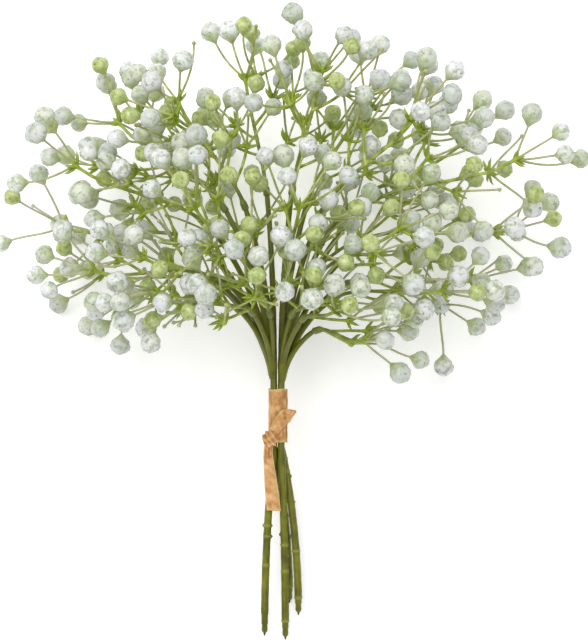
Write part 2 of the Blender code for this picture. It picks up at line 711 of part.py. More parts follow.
def trim_to_surface(obj):
    """Cuts what reaches below the surface to a small flat resting spot."""
    tilt = math.radians(TILT)
    normal = Vector((0.0, math.sin(tilt), math.cos(tilt)))
    on_surface = Vector((0.0, 0.0, -LIFT / math.cos(tilt))) * MM - obj.location
    bm = bmesh.new()
    bm.from_mesh(obj.data)
    low = min((v.co - on_surface).dot(normal) for v in bm.verts)
    if low < -1e-6:
        geometry = bm.verts[:] + bm.edges[:] + bm.faces[:]
        cut = bmesh.ops.bisect_plane(
            bm, geom=geometry, plane_co=on_surface, plane_no=-normal, clear_outer=True
        )
        edges = [item for item in cut["geom_cut"] if isinstance(item, bmesh.types.BMEdge)]
        bmesh.ops.holes_fill(bm, edges=edges)
        bmesh.ops.triangulate(bm, faces=bm.faces)
        bm.to_mesh(obj.data)
    bm.free()


def main():
    for obj in list(bpy.data.objects):
        bpy.data.objects.remove(obj)
    stems, sprays = grow()
    bunch = bpy.data.objects.new("bunch", None)
    bpy.context.scene.collection.objects.link(bunch)
    made = []
    for index, path in enumerate(stems):
        green = material(f"stem_plastic_{index}", "6E7C34", 0.5)
        steel = material(f"wire_steel_{index}", "4A4A48", 0.45, 1.0)
        made.append(make_stem(index, path, sprays, green))
        made.append(make_wire(index, path, steel))
    made.append(make_strip(material("brown_paper", "CDA069", 0.85)))
    for number, spray in enumerate(sprays):
        stalk = material(f"stalk_plastic_{number + 1:02d}", "9DB05E", 0.5)
        bud = material(f"bud_plastic_{number + 1:02d}", "E9EEEA", 0.6)
        made.append(make_spray(number, spray, stalk, bud))
    for obj in made:
        trim_to_surface(obj)
        obj.parent = bunch
    bunch.rotation_euler = (math.radians(TILT), 0.0, 0.0)
    bunch.location = (0.0, 0.0, LIFT * MM)
    bpy.context.view_layer.update()
    corners = np.array([obj.matrix_world @ vert.co for obj in made for vert in obj.data.vertices])
    middle = (corners.min(axis=0) + corners.max(axis=0)) / 2
    bunch.location.x -= middle[0]
    bunch.location.y -= middle[1]
    total = sum(len(obj.data.polygons) for obj in made)
    buds = sum(1 for spray in sprays for flower in spray["flowers"] if flower[2] != "bare")
    print("pieces", len(made), "faces", total, "buds", buds)


main()
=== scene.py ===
# %% [markdown]
# # A tied bunch of artificial gypsophila
# Four moulded plastic stems lie on a pale surface, held by a knotted strip of brown paper. Each stem branches
# above the strip, and every branch carries a moulded spray of thin stalks with round white buds.
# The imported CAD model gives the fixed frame. This lesson grows the same bunch again by the same rule, with
# finer surfaces and with materials, and lets each new piece stand for its CAD node.

# %% Load the frame
import math
import random
from collections import namedtuple

import bmesh
import bpy
import numpy as np
from mathutils import Matrix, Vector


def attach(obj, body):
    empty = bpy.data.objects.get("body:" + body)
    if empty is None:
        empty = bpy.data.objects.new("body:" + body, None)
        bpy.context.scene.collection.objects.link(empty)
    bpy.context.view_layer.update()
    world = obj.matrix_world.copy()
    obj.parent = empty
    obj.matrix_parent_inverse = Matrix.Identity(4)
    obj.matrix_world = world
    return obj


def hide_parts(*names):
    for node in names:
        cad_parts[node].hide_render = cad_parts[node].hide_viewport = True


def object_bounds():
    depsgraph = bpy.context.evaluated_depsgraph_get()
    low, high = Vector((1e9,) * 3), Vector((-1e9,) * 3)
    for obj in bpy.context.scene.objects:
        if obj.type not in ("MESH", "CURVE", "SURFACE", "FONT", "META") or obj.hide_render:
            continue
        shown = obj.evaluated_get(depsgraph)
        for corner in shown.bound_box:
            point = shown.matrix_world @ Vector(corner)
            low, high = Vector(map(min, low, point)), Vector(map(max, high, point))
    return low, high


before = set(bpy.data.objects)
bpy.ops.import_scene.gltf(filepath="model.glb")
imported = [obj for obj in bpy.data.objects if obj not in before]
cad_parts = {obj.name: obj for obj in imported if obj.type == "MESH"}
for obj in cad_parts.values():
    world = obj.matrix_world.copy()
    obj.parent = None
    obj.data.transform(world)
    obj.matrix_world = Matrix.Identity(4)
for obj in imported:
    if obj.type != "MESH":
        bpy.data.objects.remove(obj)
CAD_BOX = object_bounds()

print("nodes in the frame:", len(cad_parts))

# %% [markdown]
# ## The frame of the bunch
# Everything is worked out in millimetres in the bunch's own frame: X to the right, Y from the cut ends to the
# flowers, Z up to the viewer, with the origin in the middle of the paper strip. The bunch lies tilted, since
# the flower head is thicker than the stems, so one turn and one shift carry every point to its place.

# %% Sizes of the bunch, in millimetres
MM = 0.001
TILT = 12.0  # degrees that the flower head lies higher than the cut ends
LIFT = 25.0  # height of the middle of the strip over the surface
RESTING_SHARE = 0.78  # height of a resting bud's middle, in its own radii
RESTING_LEAVE = 6.0  # how far a resting bud's stalk goes on along the main stalk before it turns down
STEM_R = 1.8
STEM_R_IN_STRIP = 1.6
STEM_SPACING = 3.5  # between the middles of two stems inside the strip
STRIP_TOP = 12.8
STRIP_BOTTOM = -12.5
FAN_POINT = np.array((0.0, STRIP_TOP, 0.0))  # the branches spread from here
WIRE_R = 0.55
WIRE_TIP = 1.5  # length that shows past the cut end
BRANCH_R = (1.45, 1.2)
BRANCH_ROOT_LENGTH = 5.0  # over which a branch comes to its full thickness
LOWEST_FORK = 1.5  # above the strip
FORK_SHARE = 0.12  # the straighter and longer a branch, the higher it forks off
FORK_LEAN = 0.6  # how much of the way to its socket a branch takes in as it leaves the stem
ROOT_SUNK = 0.6  # how far below its fork a branch starts, inside the stem
STEEPNESS = (0.52, 0.85)  # a socket's shares of its spray's lean to the side and to the viewer
SOCKET_HEADING = 0.92  # the share of the side lean that a socket points at
DROOP = (1.22, 0.7)  # shares of the two leans that a spray's main stalk ends with
SOCKET_R = 1.75
SOCKET_DEPTH = 3.8
SEAT_GAP = 0.3
STALK_R = (0.95, 0.75)
SOCKET_CONE = 3.0  # from the socket down to the stalk
SIDE_STALK_R = 0.72
SIDE_STALK_LEAN = (38, 56)
SIDE_STALK_LENGTH = (13, 20)
SIDE_STALK_WOBBLE = 30  # degrees either way
SIDE_STALK_RETRY = 37  # degrees from one try to the next
FIRST_SIDE_STALK = 0.34  # share of the main stalk below the first side stalk
SIDE_STALKS_OVER = 0.52  # share of the main stalk that they are spread over
GOLDEN_TURN = 137.5  # degrees from one side stalk to the next
SIDE_STALK_BEND = (0.3, 0.35)  # how far it starts out sideways, and how far it ends along the main stalk
ROOT_FREE = 3.0  # a new stalk may touch others this near its root
ROD_EXTRA = 0.1  # added to a flower stalk's radius when it is kept clear of others
CURVE_POINTS = {"side": 5, "flower": 7}
KNUCKLE_R = 1.6  # the small swelling that the flower stalks grow from
FLOWER_STALK_R = 0.62
FLOWER_LEAN = (24, 52)
FLOWER_LENGTH = (17, 27)
FLOWER_WOBBLE = 25
FLOWER_RETRY = (11, 0.2)  # degrees further round and length less at each try
FLOWER_OUTWARD = 0.45  # how strongly a flower stalk leaves sideways
FLOWER_BEND = (-0.5, 0.35)  # how strongly its end bends inward or outward
NEAR_KNUCKLE = 4.5  # flower stalks may touch each other within this distance of their knuckle
SIDE_KNUCKLE_FLOWERS = 3
KINDS = ("white", "green", "bare")
KIND_WEIGHTS = (80, 15, 5)  # out of 100 flowers
BUD_R = (4.4, 5.4)
GREEN_BUD_R = 4.2
BUD_SEAT = 0.85  # a bud's middle lies this share of its radius past its stalk
KNOB_R = 1.1
FACET_ROUND = 1.08  # a faceted ball this much wider holds about the volume of the round one
CLEARANCE = 0.5  # between the pieces of different sprays and stems
TRIES = 40  # angles that a new stalk may try
ARC_POINTS = 9  # of each curve of a stem or branch
STEM_OWNER = 100  # added to a stem's number, to tell it from the sprays among the placed pieces
SEED = 11
UP = (0.0, 0.0, 1.0)

# %% The stems and their sprays
Stem = namedtuple("Stem", "name place cut_end")
STEMS = (
    Stem("stem_front_left", (-1, 1), (-6.1, -102.4, 1.0)),
    Stem("stem_front_right", (1, 1), (3.7, -104.3, 0.6)),
    Stem("stem_back_right", (1, -1), (9.9, -92.9, -1.2)),
    Stem("stem_back_left", (-1, -1), (5.6, -87.7, -5.9)),
)
# A spray leans side degrees to the right and out degrees to the viewer. Its socket and its end lie so many
# millimetres from where the branches fan out, and it has sides side stalks and flowers flowers at its end.
Spray = namedtuple("Spray", "stem side out socket reach sides flowers")
SPRAYS = [Spray(*facts) for facts in (
    (0, -19, 9, 86, 144, 3, 4), (0, -42, 8, 80, 142, 3, 4), (0, -57, 12, 60, 104, 2, 4),
    (0, -47, 31, 44, 76, 1, 4), (0, -45, 28, 56, 98, 2, 4), (0, -24, 30, 60, 106, 2, 4),
    (0, -10, 42, 42, 70, 1, 4), (0, -32, 44, 46, 70, 0, 5), (1, 8, 10, 92, 152, 3, 4),
    (1, 27, 10, 86, 146, 3, 4), (1, 46, 8, 90, 156, 3, 4), (1, 59, 17, 50, 94, 2, 4),
    (1, 37, 28, 60, 106, 2, 4), (1, 7, 30, 58, 98, 2, 4), (1, 20, 42, 42, 68, 1, 4),
    (1, 61, 32, 36, 55, 1, 4), (1, 36, 46, 44, 66, 0, 5), (2, 17, -7, 88, 148, 2, 4),
    (2, 37, -8, 86, 148, 2, 4), (2, 56, -4, 78, 136, 3, 4), (2, 61, -10, 58, 108, 2, 4),
    (2, 33, -18, 58, 106, 1, 4), (3, -6, -6, 92, 150, 2, 4), (3, -31, -7, 88, 150, 3, 4),
    (3, -53, -5, 76, 129, 2, 4), (3, -57, -12, 56, 103, 2, 4), (3, -18, -18, 58, 108, 1, 4),
)]
RESTING_BUDS = {17: (40.0, 140.0), 23: (-62.0, 132.0)}  # where the hanging buds of two sprays touch down
print("stems:", len(STEMS), "sprays:", len(SPRAYS))

# %% [markdown]
# ## Lines that everything grows along
# A stem, a branch and a flower stalk are each one smooth curve. A cubic from one point and direction to
# another is enough for all of them. Reading a curve by the distance along it keeps thickness, rings and
# joints at their real places.


# %% Curves
def unit(v):
    return v / np.linalg.norm(v)


def direction(side, out):
    """The unit vector that leans side degrees to the right of +Y and out degrees towards the viewer."""
    a, b = math.radians(side), math.radians(out)
    return np.array((math.sin(a) * math.cos(b), math.cos(a) * math.cos(b), math.sin(b)))


def leaning(axes, turn, lean):
    """The direction that leans away from the first of three axes, and the sideways one that it leans to."""
    along, across, other = axes
    sideways = math.cos(turn) * across + math.sin(turn) * other
    return math.cos(lean) * along + math.sin(lean) * sideways, sideways


def arc(start, leaving, end, arriving, count=ARC_POINTS):
    """Points on the cubic from start to end that leaves and arrives in the given directions."""
    start, end = np.asarray(start, float), np.asarray(end, float)
    t = np.linspace(0.0, 1.0, count)[:, None]
    span = np.linalg.norm(end - start)
    along = (2 * t**3 - 3 * t**2 + 1) * start + (3 * t**2 - 2 * t**3) * end
    return along + span * ((t**3 - 2 * t**2 + t) * leaving + (t**3 - t**2) * arriving)


class Line:
    """A smooth line through points, read by the distance along it, with a pair of cross directions."""

    def __init__(self, points):
        keep = np.append(True, np.linalg.norm(np.diff(points, axis=0), axis=1) > 1e-6)
        self.points = np.asarray(points)[keep]
        steps = np.diff(self.points, axis=0)
        lengths = np.linalg.norm(steps, axis=1)
        self.distance = np.append(0.0, np.cumsum(lengths))
        self.length = self.distance[-1]
        chords = steps / lengths[:, None]
        self.tangents = np.vstack((chords[:1], chords[:-1] + chords[1:], chords[-1:]))
        self.tangents /= np.linalg.norm(self.tangents, axis=1)[:, None]
        across = np.cross(self.tangents[0], UP)
        if np.linalg.norm(across) < 0.1:
            across = np.array((1.0, 0.0, 0.0))
        self.across = []
        for tangent in self.tangents:
            across = unit(across - tangent * (across @ tangent))
            self.across.append(across)
        self.across = np.array(self.across)

    def read(self, table, s):
        return np.array([np.interp(s, self.distance, column) for column in table.T])

    def at(self, s):
        """The point, the direction and the two cross directions, also past the line's ends."""
        tangent = unit(self.read(self.tangents, s))
        beyond = min(s, 0.0) + max(s - self.length, 0.0)
        point = self.read(self.points, s) + beyond * tangent
        across = self.read(self.across, s)
        across = unit(across - tangent * (across @ tangent))
        return point, tangent, across, np.cross(tangent, across)


# %% [markdown]
# ## Room to grow
# The buds must not run into each other. Every placed piece is kept as a few straight rods and balls, and a
# new stalk is tried at another angle until it is clear of them all. The draws are seeded and come in the same
# order as in the CAD model, so the same stems and flowers come first.


# %% Clearance
def height(point):
    """Height of a point of the bunch over the surface."""
    tilt = math.radians(TILT)
    return LIFT + point[1] * math.sin(tilt) + point[2] * math.cos(tilt)


def rods_of(line, low, high, radius, pieces):
    """A stretch of a line as a few straight round rods."""
    points = [line.at(s)[0] for s in np.linspace(low, high, pieces + 1)]
    return [(a, b, radius) for a, b in zip(points, points[1:])]


def ball(centre, radius):
    return (centre, centre + np.array((0.0, 0.0, 0.01)), radius)


class Room:
    """The rods and balls that are already placed, to keep new ones clear of them."""

    def __init__(self):
        self.starts = np.empty((0, 3))
        self.ends = np.empty((0, 3))
        self.radii = np.empty(0)
        self.owners = np.empty(0, int)
        self.balls = np.empty(0, bool)
        self.box = None

    def add(self, rods, owner):
        for start, end, radius in rods:
            self.starts = np.vstack((self.starts, start))
            self.ends = np.vstack((self.ends, end))
            self.radii = np.append(self.radii, radius)
            self.owners = np.append(self.owners, owner)
            self.balls = np.append(self.balls, np.linalg.norm(end - start) < 0.1)

    def gap(self, rod, chosen):
        """The least gap between one rod and those of the placed ones that are chosen."""
        if not chosen.any():
            return math.inf
        start, end, radius = rod
        u = end - start
        v = self.ends[chosen] - self.starts[chosen]
        w = start - self.starts[chosen]
        uu, vv, uv = u @ u, (v * v).sum(axis=1), v @ u
        uw, vw = w @ u, (v * w).sum(axis=1)
        s = np.clip((uv * vw - vv * uw) / np.maximum(uu * vv - uv * uv, 1e-9), 0.0, 1.0)
        t = np.clip((uv * s + vw) / vv, 0.0, 1.0)
        s = np.clip((uv * t - uw) / uu, 0.0, 1.0)
        apart = np.linalg.norm(w + s[:, None] * u - t[:, None] * v, axis=1)
        return (apart - self.radii[chosen] - radius).min()

    def holds(self, centre, radius):
        """True if a ball lies inside the box that the room has been given, or if it has none."""
        if self.box is None:
            return True
        point = placed(centre)
        low, high = self.box
        return bool((point - radius * MM > low).all() and (point + radius * MM < high).all())

    def is_free(self, rods, owner):
        """True if the rods stay clear of all other pieces, of the surface, and of this piece's buds."""
        others = self.owners != owner
        own_balls = (self.owners == owner) & self.balls
        for rod in rods:
            low = min(height(rod[0]), height(rod[1])) - rod[2]
            if low < CLEARANCE or self.gap(rod, others) < CLEARANCE:
                return False
            if self.gap(rod, own_balls) < CLEARANCE:
                return False
        return True


# %% The lines of stems and branches
def socket_place(spray):
    """Where a spray's socket lies and which way it points: branches leave steeply, then bend outward."""
    place = FAN_POINT + spray.socket * direction(spray.side * STEEPNESS[0], spray.out * STEEPNESS[1])
    return place, direction(spray.side * SOCKET_HEADING, spray.out)


def stem_line(stem, leader):
    """From the cut end up through the strip, and on to the socket of the stem's first spray."""
    offset = np.array((stem.place[0], 0.0, stem.place[1])) * STEM_SPACING / 2
    low = offset + np.array((0.0, STRIP_BOTTOM - 2.0, 0.0))
    high = offset + np.array((0.0, STRIP_TOP + 1.0, 0.0))
    cut_end = np.array(stem.cut_end)
    up = np.array((0.0, 1.0, 0.0))
    leaning = unit(low - cut_end)
    below = arc(cut_end, up, low, unit(leaning * 2 - up))
    tip, heading = socket_place(leader)
    above = arc(high, up, tip, heading)
    return Line(np.vstack((below, above)))


def limb_line(spray, stem_path, is_leader):
    """Along one branch, and on through the socket to the end of its spray. The leader's is the stem's own."""
    tip, heading = socket_place(spray)
    end = FAN_POINT + spray.reach * direction(spray.side, spray.out)
    droop = direction(spray.side * DROOP[0], spray.out * DROOP[1])
    stalk = arc(tip, heading, end, droop)
    if is_leader:
        return Line(np.vstack((stem_path.points[-ARC_POINTS:], stalk)))
    rise = LOWEST_FORK + FORK_SHARE * spray.socket * math.cos(math.radians(spray.side)) ** 2
    fork = stem_path.distance[ARC_POINTS] + rise
    start, along, _, _ = stem_path.at(fork)
    start = start - ROOT_SUNK * along
    leaving = unit(along + FORK_LEAN * unit(tip - start))
    return Line(np.vstack((arc(start, leaving, tip, heading), stalk)))


# %% Side stalks and flowers of a spray
def add_side_stalk(spray, number, place, turn, draw, room):
    """Tries a side stalk from one place on the main stalk, further round each time, until it is clear."""
    start, *axes = spray["limb"].at(place)
    for attempt in range(TRIES):
        wobble = draw.uniform(-SIDE_STALK_WOBBLE, SIDE_STALK_WOBBLE)
        angle = math.radians(turn + wobble + attempt * SIDE_STALK_RETRY)
        lean = math.radians(draw.uniform(*SIDE_STALK_LEAN))
        length = draw.uniform(*SIDE_STALK_LENGTH)
        heading, sideways = leaning(axes, angle, lean)
        heading = unit(heading)
        leaving = unit(heading + SIDE_STALK_BEND[0] * sideways)
        ending = unit(heading + SIDE_STALK_BEND[1] * axes[0])
        line = Line(arc(start, leaving, start + length * heading, ending, CURVE_POINTS["side"]))
        rods = rods_of(line, ROOT_FREE, line.length, KNUCKLE_R, 2)
        if room.is_free(rods, number):
            room.add(rods, number)
            spray["stalks"].append(line)
            spray["knuckles"].append(line)
            break


def add_side_stalks(spray, number, room):
    """Side stalks turn round the main stalk, and each ends in a knuckle, as the main stalk does."""
    facts = SPRAYS[number]
    draw = random.Random(SEED * 100 + number)
    stalk_length = spray["limb"].length - spray["socket"]
    turn = draw.uniform(0.0, 360.0)
    for index in range(facts.sides):
        share = FIRST_SIDE_STALK + SIDE_STALKS_OVER * index / facts.sides
        add_side_stalk(spray, number, spray["socket"] + share * stalk_length, turn, draw, room)
        turn += GOLDEN_TURN
    spray["knuckles"].append(spray["limb"])


def add_resting_bud(spray, number, x, y, room):
    """A bud on the spray's end knuckle that hangs down to the surface."""
    tilt = math.radians(TILT)
    start, along, _, _ = spray["limb"].at(spray["limb"].length)
    radius = BUD_R[1]
    rise = radius * RESTING_SHARE
    centre = np.array((x, y, (rise - LIFT - y * math.sin(tilt)) / math.cos(tilt)))
    down = unit(np.array((0.0, -math.sin(tilt), -math.cos(tilt))) + unit(centre - start))
    leaving = unit(centre - start + RESTING_LEAVE * along)
    line = Line(arc(start, leaving, centre - radius * down, down, CURVE_POINTS["flower"]))
    room.add(rods_of(line, ROOT_FREE, line.length, FLOWER_STALK_R + ROD_EXTRA, 3), number)
    room.add([ball(centre, radius * FACET_ROUND)], number)
    spray["flowers"].append((line, radius, "white"))


def add_flowers(spray, number, knuckle, count, draw, room, weights=KIND_WEIGHTS):
    """Curved flower stalks spread from one knuckle, each with a bud or, now and then, a bare knob."""
    centre, *axes = knuckle.at(knuckle.length)
    turn = draw.uniform(0.0, 360.0)
    for flower in range(count):
        for attempt in range(TRIES):
            wobble = draw.uniform(-FLOWER_WOBBLE, FLOWER_WOBBLE)
            angle = math.radians(turn + 360.0 * flower / count + wobble + attempt * FLOWER_RETRY[0])
            lean = math.radians(draw.uniform(*FLOWER_LEAN))
            length = draw.uniform(*FLOWER_LENGTH) - FLOWER_RETRY[1] * attempt
            heading, sideways = leaning(axes, angle, lean)
            bend = unit(heading + draw.uniform(*FLOWER_BEND) * sideways)
            leaving = unit(heading + FLOWER_OUTWARD * sideways)
            line = Line(arc(centre, leaving, centre + length * heading, bend, CURVE_POINTS["flower"]))
            kind = draw.choices(KINDS, weights)[0]
            radius = {"white": draw.uniform(*BUD_R), "green": GREEN_BUD_R, "bare": KNOB_R}[kind]
            end = line.at(line.length + radius * BUD_SEAT)[0]
            rods = rods_of(line, NEAR_KNUCKLE, line.length, FLOWER_STALK_R + ROD_EXTRA, 2)
            rods.append(ball(end, radius * FACET_ROUND))
            if room.is_free(rods, number) and room.holds(end, radius * FACET_ROUND):
                room.add(rods, number)
                spray["flowers"].append((line, radius, kind))
                break


def add_planned_flowers(spray, number, index, room):
    """The end knuckle has its own count of flowers, and every side knuckle the same."""
    draw = random.Random(SEED * 10000 + number * 10 + index)
    last = index == len(spray["knuckles"]) - 1
    count = SPRAYS[number].flowers if last else SIDE_KNUCKLE_FLOWERS
    add_flowers(spray, number, spray["knuckles"][index], count, draw, room)


# %% Grow the bunch
def grow():
    """Works out every line, knuckle and bud of the bunch, each clear of its neighbours."""
    room = Room()
    stems = []
    limbs = []
    for index, stem in enumerate(STEMS):
        own = [number for number, spray in enumerate(SPRAYS) if spray.stem == index]
        path = stem_line(stem, SPRAYS[own[0]])
        stems.append(path)
        room.add(rods_of(path, 0.0, path.length, STEM_R, 24), STEM_OWNER + index)
        for number in own:
            limb = limb_line(SPRAYS[number], path, number == own[0])
            socket = limb.distance[ARC_POINTS - 1]
            limbs.append((number, limb, socket))
            room.add(rods_of(limb, BRANCH_ROOT_LENGTH, socket, BRANCH_R[0], 5), STEM_OWNER + index)
    for number, limb, socket in limbs:
        cone = socket + SOCKET_DEPTH + SOCKET_CONE
        room.add(rods_of(limb, socket, cone, SOCKET_R, 1), number)
        room.add(rods_of(limb, cone, limb.length, STALK_R[0], 5), number)

    sprays = []
    for number, limb, socket in limbs:
        sprays.append({"limb": limb, "socket": socket, "stalks": [], "flowers": [], "knuckles": []})
        add_side_stalks(sprays[-1], number, room)
    for number, (x, y) in RESTING_BUDS.items():
        add_resting_bud(sprays[number], number, x, y, room)
    most = max(len(spray["knuckles"]) for spray in sprays)
    for turn in range(most):
        for number, spray in enumerate(sprays):
            if turn < len(spray["knuckles"]):
                add_planned_flowers(spray, number, turn, room)
    return stems, sprays, room


stems, sprays, room = grow()
print("flower stalks:", sum(len(spray["flowers"]) for spray in sprays))
print("kinds:", {kind: sum(f[2] == kind for spray in sprays for f in spray["flowers"]) for kind in KINDS})

# %% [markdown]
# ## Finding the bunch's place
# The CAD file keeps the middle of the whole bunch over the origin, so the bunch's own frame is shifted. The
# point of each steel wire is known in both frames, and the difference is the shift.

# %% Turn and shift to the frame
TURN = np.array(Matrix.Rotation(math.radians(TILT), 3, "X"))


def corners_of(node):
    """All points of a CAD node, in metres."""
    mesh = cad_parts[node].data
    points = np.empty(len(mesh.vertices) * 3, np.float32)
    mesh.vertices.foreach_get("co", points)
    return points.reshape(-1, 3).astype(float)


def wire_name(stem):
    return stem.name.replace("stem", "wire")


shifts = []
for stem, path in zip(STEMS, stems):
    points = corners_of(wire_name(stem))
    tip = points[points[:, 1].argmin()]
    shifts.append(tip - TURN @ path.at(-WIRE_TIP)[0] * MM)
SHIFT = np.mean(shifts, axis=0)
print("shift in mm:", (SHIFT / MM).round(3), "spread:", np.ptp(shifts, axis=0).max() / MM)


def placed(points):
    """Points of the bunch, in millimetres, carried to their place in the frame, in metres."""
    return points @ TURN.T * MM + SHIFT


# %% [markdown]
# ## The rest of the flowers
# A real bunch has more flowers than its CAD solids can carry. More side stalks and flowers of the same kind
# grow in the room that is left, inside the CAD model's box.

# %% Fill the room that is left
FILL_STALKS = (3, 1)  # tried along an inner and an outer spray's main stalk
FILL_WITHIN = 35.0  # degrees to either side that count as inner
FILL_FROM = 0.22  # share of the main stalk below the first of them
FILL_FLOWERS = 3
FILL_WEIGHTS = (35, 30, 35)
FILL_LOWEST = 30.0  # height over the middle of the strip, measured along the stems
room.box = (np.array(CAD_BOX[0]), np.array(CAD_BOX[1]))
room.box[0][1] = placed(np.array((0.0, FILL_LOWEST, 0.0)))[1]
for number, spray in enumerate(sprays):
    draw = random.Random(SEED + number)
    stalk_length = spray["limb"].length - spray["socket"]
    known = len(spray["knuckles"])
    inner = abs(SPRAYS[number].side) < FILL_WITHIN
    tried = FILL_STALKS[0] if inner else FILL_STALKS[1]
    for index in range(tried):
        share = FILL_FROM + (1.0 - FILL_FROM) * index / tried
        add_side_stalk(spray, number, spray["socket"] + share * stalk_length, GOLDEN_TURN * index, draw, room)
    for knuckle in spray["knuckles"][known:]:
        add_flowers(spray, number, knuckle, FILL_FLOWERS, draw, room, FILL_WEIGHTS)
print("flower stalks with the rest:", sum(len(spray["flowers"]) for spray in sprays))

# %% [markdown]
# ## Surfaces as grids
# Every new surface is a grid of points: rows run along a path and columns go round it. The rows may shrink
# to one point, which closes an end. The faces come from index arithmetic, and each face corner keeps its own
# place on the grid as UV, so that a pattern can follow the surface.
# Each point also keeps three numbers for its finish, in one colour attribute.

# %% Grid tools
FINISH = "finish"
SAME_POINT = 1e-7  # metres: points this close become one, which closes seams and ends


class Surface:
    """Collects grids of points into one mesh."""

    def __init__(self):
        self.points, self.faces, self.uvs, self.finish = [], [], [], []
        self.count = 0

    def add(self, grid, finish):
        """Adds a grid of rows, columns and xyz whose last column joins the first, with its finish numbers."""
        rows, columns, _ = grid.shape
        row = np.arange(rows - 1)[:, None]
        column = np.arange(columns)[None, :]
        right = (column + 1) % columns
        corners = (row * columns + column, row * columns + right,
                   (row + 1) * columns + right, (row + 1) * columns + column)
        self.faces.append(np.stack(corners, axis=-1).reshape(-1, 4) + self.count)
        u = np.stack((column, column + 1, column + 1, column), axis=-1) / columns + 0.0 * row[..., None]
        v = np.stack((row, row, row + 1, row + 1), axis=-1) / (rows - 1) + 0.0 * column[..., None]
        self.uvs.append(np.stack((u, v), axis=-1).reshape(-1, 2))
        self.points.append(grid.reshape(-1, 3))
        self.finish.append(np.broadcast_to(finish, (rows, columns, 3)).reshape(-1, 3))
        self.count += rows * columns

    def make(self, name, node, slot, material):
        """Makes the mesh in its place inside the CAD box, and lets it stand for its CAD node."""
        points = np.clip(placed(np.concatenate(self.points)), *CAD_BOX)
        mesh = bpy.data.meshes.new(name)
        mesh.from_pydata(points.tolist(), [], np.concatenate(self.faces).tolist())
        layer = mesh.uv_layers.new(name="UVMap")
        layer.data.foreach_set("uv", np.concatenate(self.uvs).astype(np.float32).ravel())
        finish = np.ones((len(points), 4), np.float32)
        finish[:, :3] = np.concatenate(self.finish)
        attribute = mesh.attributes.new(FINISH, "FLOAT_COLOR", "POINT")
        attribute.data.foreach_set("color", finish.ravel())
        bm = bmesh.new()
        bm.from_mesh(mesh)
        bmesh.ops.remove_doubles(bm, verts=bm.verts, dist=SAME_POINT)
        bm.to_mesh(mesh)
        bm.free()
        mesh.shade_smooth()
        mesh.materials.append(material)
        piece = bpy.data.objects.new(name, mesh)
        bpy.context.scene.collection.objects.link(piece)
        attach(piece, "root")
        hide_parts(node)
        return piece


# %% A tube along a line
def channels(s, red=0.0, green=0.0, blue=0.0):
    """Finish numbers for each row of a tube, the same all round it."""
    return np.stack([number + 0.0 * s for number in (red, green, blue)], axis=-1)[:, None]


def frames(line, s):
    """Points and cross directions of a line at an array of distances, also past its ends."""
    tangent = line.read(line.tangents, s).T
    tangent = tangent / np.linalg.norm(tangent, axis=1)[:, None]
    beyond = np.minimum(s, 0.0) + np.maximum(s - line.length, 0.0)
    point = line.read(line.points, s).T + beyond[:, None] * tangent
    across = line.read(line.across, s).T
    across -= tangent * (across * tangent).sum(axis=1)[:, None]
    across = across / np.linalg.norm(across, axis=1)[:, None]
    return point, across, np.cross(tangent, across)


def tube(line, s, radii, sides, turn=0.0):
    """A tube: centre(s) + radius(s, angle) * (cos(angle) * across(s) + sin(angle) * other(s))."""
    s = np.asarray(s, float)
    centre, across, other = frames(line, s)
    radii = np.asarray(radii, float)
    if radii.ndim == 1:
        radii = radii[:, None]
    angle = 2 * np.pi * np.arange(sides)[None, :] / sides + np.asarray(turn).reshape(-1, 1)
    ring = np.cos(angle)[..., None] * across[:, None] + np.sin(angle)[..., None] * other[:, None]
    return centre[:, None] + radii[..., None] * ring


# %% [markdown]
# ## Materials
# One function turns a paint-shop hex colour into the linear numbers that the shader wants, and one small
# helper adds a node with its settings and links. A node given as a source stands for its first output.
# Every material is named for the real one, and its patterns have their sizes in millimetres.


# %% Material helpers
def linear(colour):
    """Linear RGBA of an sRGB hex colour."""
    parts = [int(colour[k:k + 2], 16) / 255 for k in (0, 2, 4)]
    return (*(c / 12.92 if c <= 0.04045 else ((c + 0.055) / 1.055) ** 2.4 for c in parts), 1.0)


def put(node, key, value):
    """Sets a colour ramp's stops, a property or an input, where a text put into an input is a hex colour."""
    if key == "stops":
        elements = node.color_ramp.elements
        while len(elements) < len(value):
            elements.new(0.5)
        for element, (place, colour) in zip(elements, value):
            element.position = place
            element.color = linear(colour)
    elif isinstance(key, str) and hasattr(node, key):
        setattr(node, key, value)
    else:
        node.inputs[key].default_value = linear(value) if isinstance(value, str) else value


def fill(material, node, settings, links):
    """Gives a node its settings, and links each of the named inputs to its source."""
    for key, value in (settings or {}).items():
        put(node, key, value)
    for key, source in (links or {}).items():
        output = source if isinstance(source, bpy.types.NodeSocket) else source.outputs[0]
        material.node_tree.links.new(output, node.inputs[key])


def add(material, kind, settings=None, links=None):
    """Adds one node with its settings and links."""
    node = material.node_tree.nodes.new("ShaderNode" + kind)
    fill(material, node, settings, links)
    return node


def finished(material, settings, links=None):
    """Gives the shader what it needs, and hands back the finished material."""
    fill(material, material.node_tree.nodes["Principled BSDF"], settings, links)
    return material


def new_material(name):
    made = bpy.data.materials.new(name)
    made.use_nodes = True
    return made


def repeat_every(millimetres):
    """The scale at which a pattern on the object repeats about every so many millimetres."""
    return 1.0 / (millimetres * MM)


def place_and_finish(made):
    """The place on the object, and the three finish numbers as the channels of a colour."""
    numbers = add(made, "Attribute", {"attribute_name": FINISH})
    finish = add(made, "SeparateColor", links={"Color": numbers}).outputs
    return add(made, "TexCoord").outputs["Object"], finish


# %% [markdown]
# ## Stem plastic
# The stems are low-density polyethylene, dyed olive and injection moulded. The flow of the melt leaves fine
# streaks along each stem, the growth rings are paler where the plastic is stretched thin, and the surface
# has a soft, slightly greasy sheen. Red in the finish is a ring, and green rises along the branches.


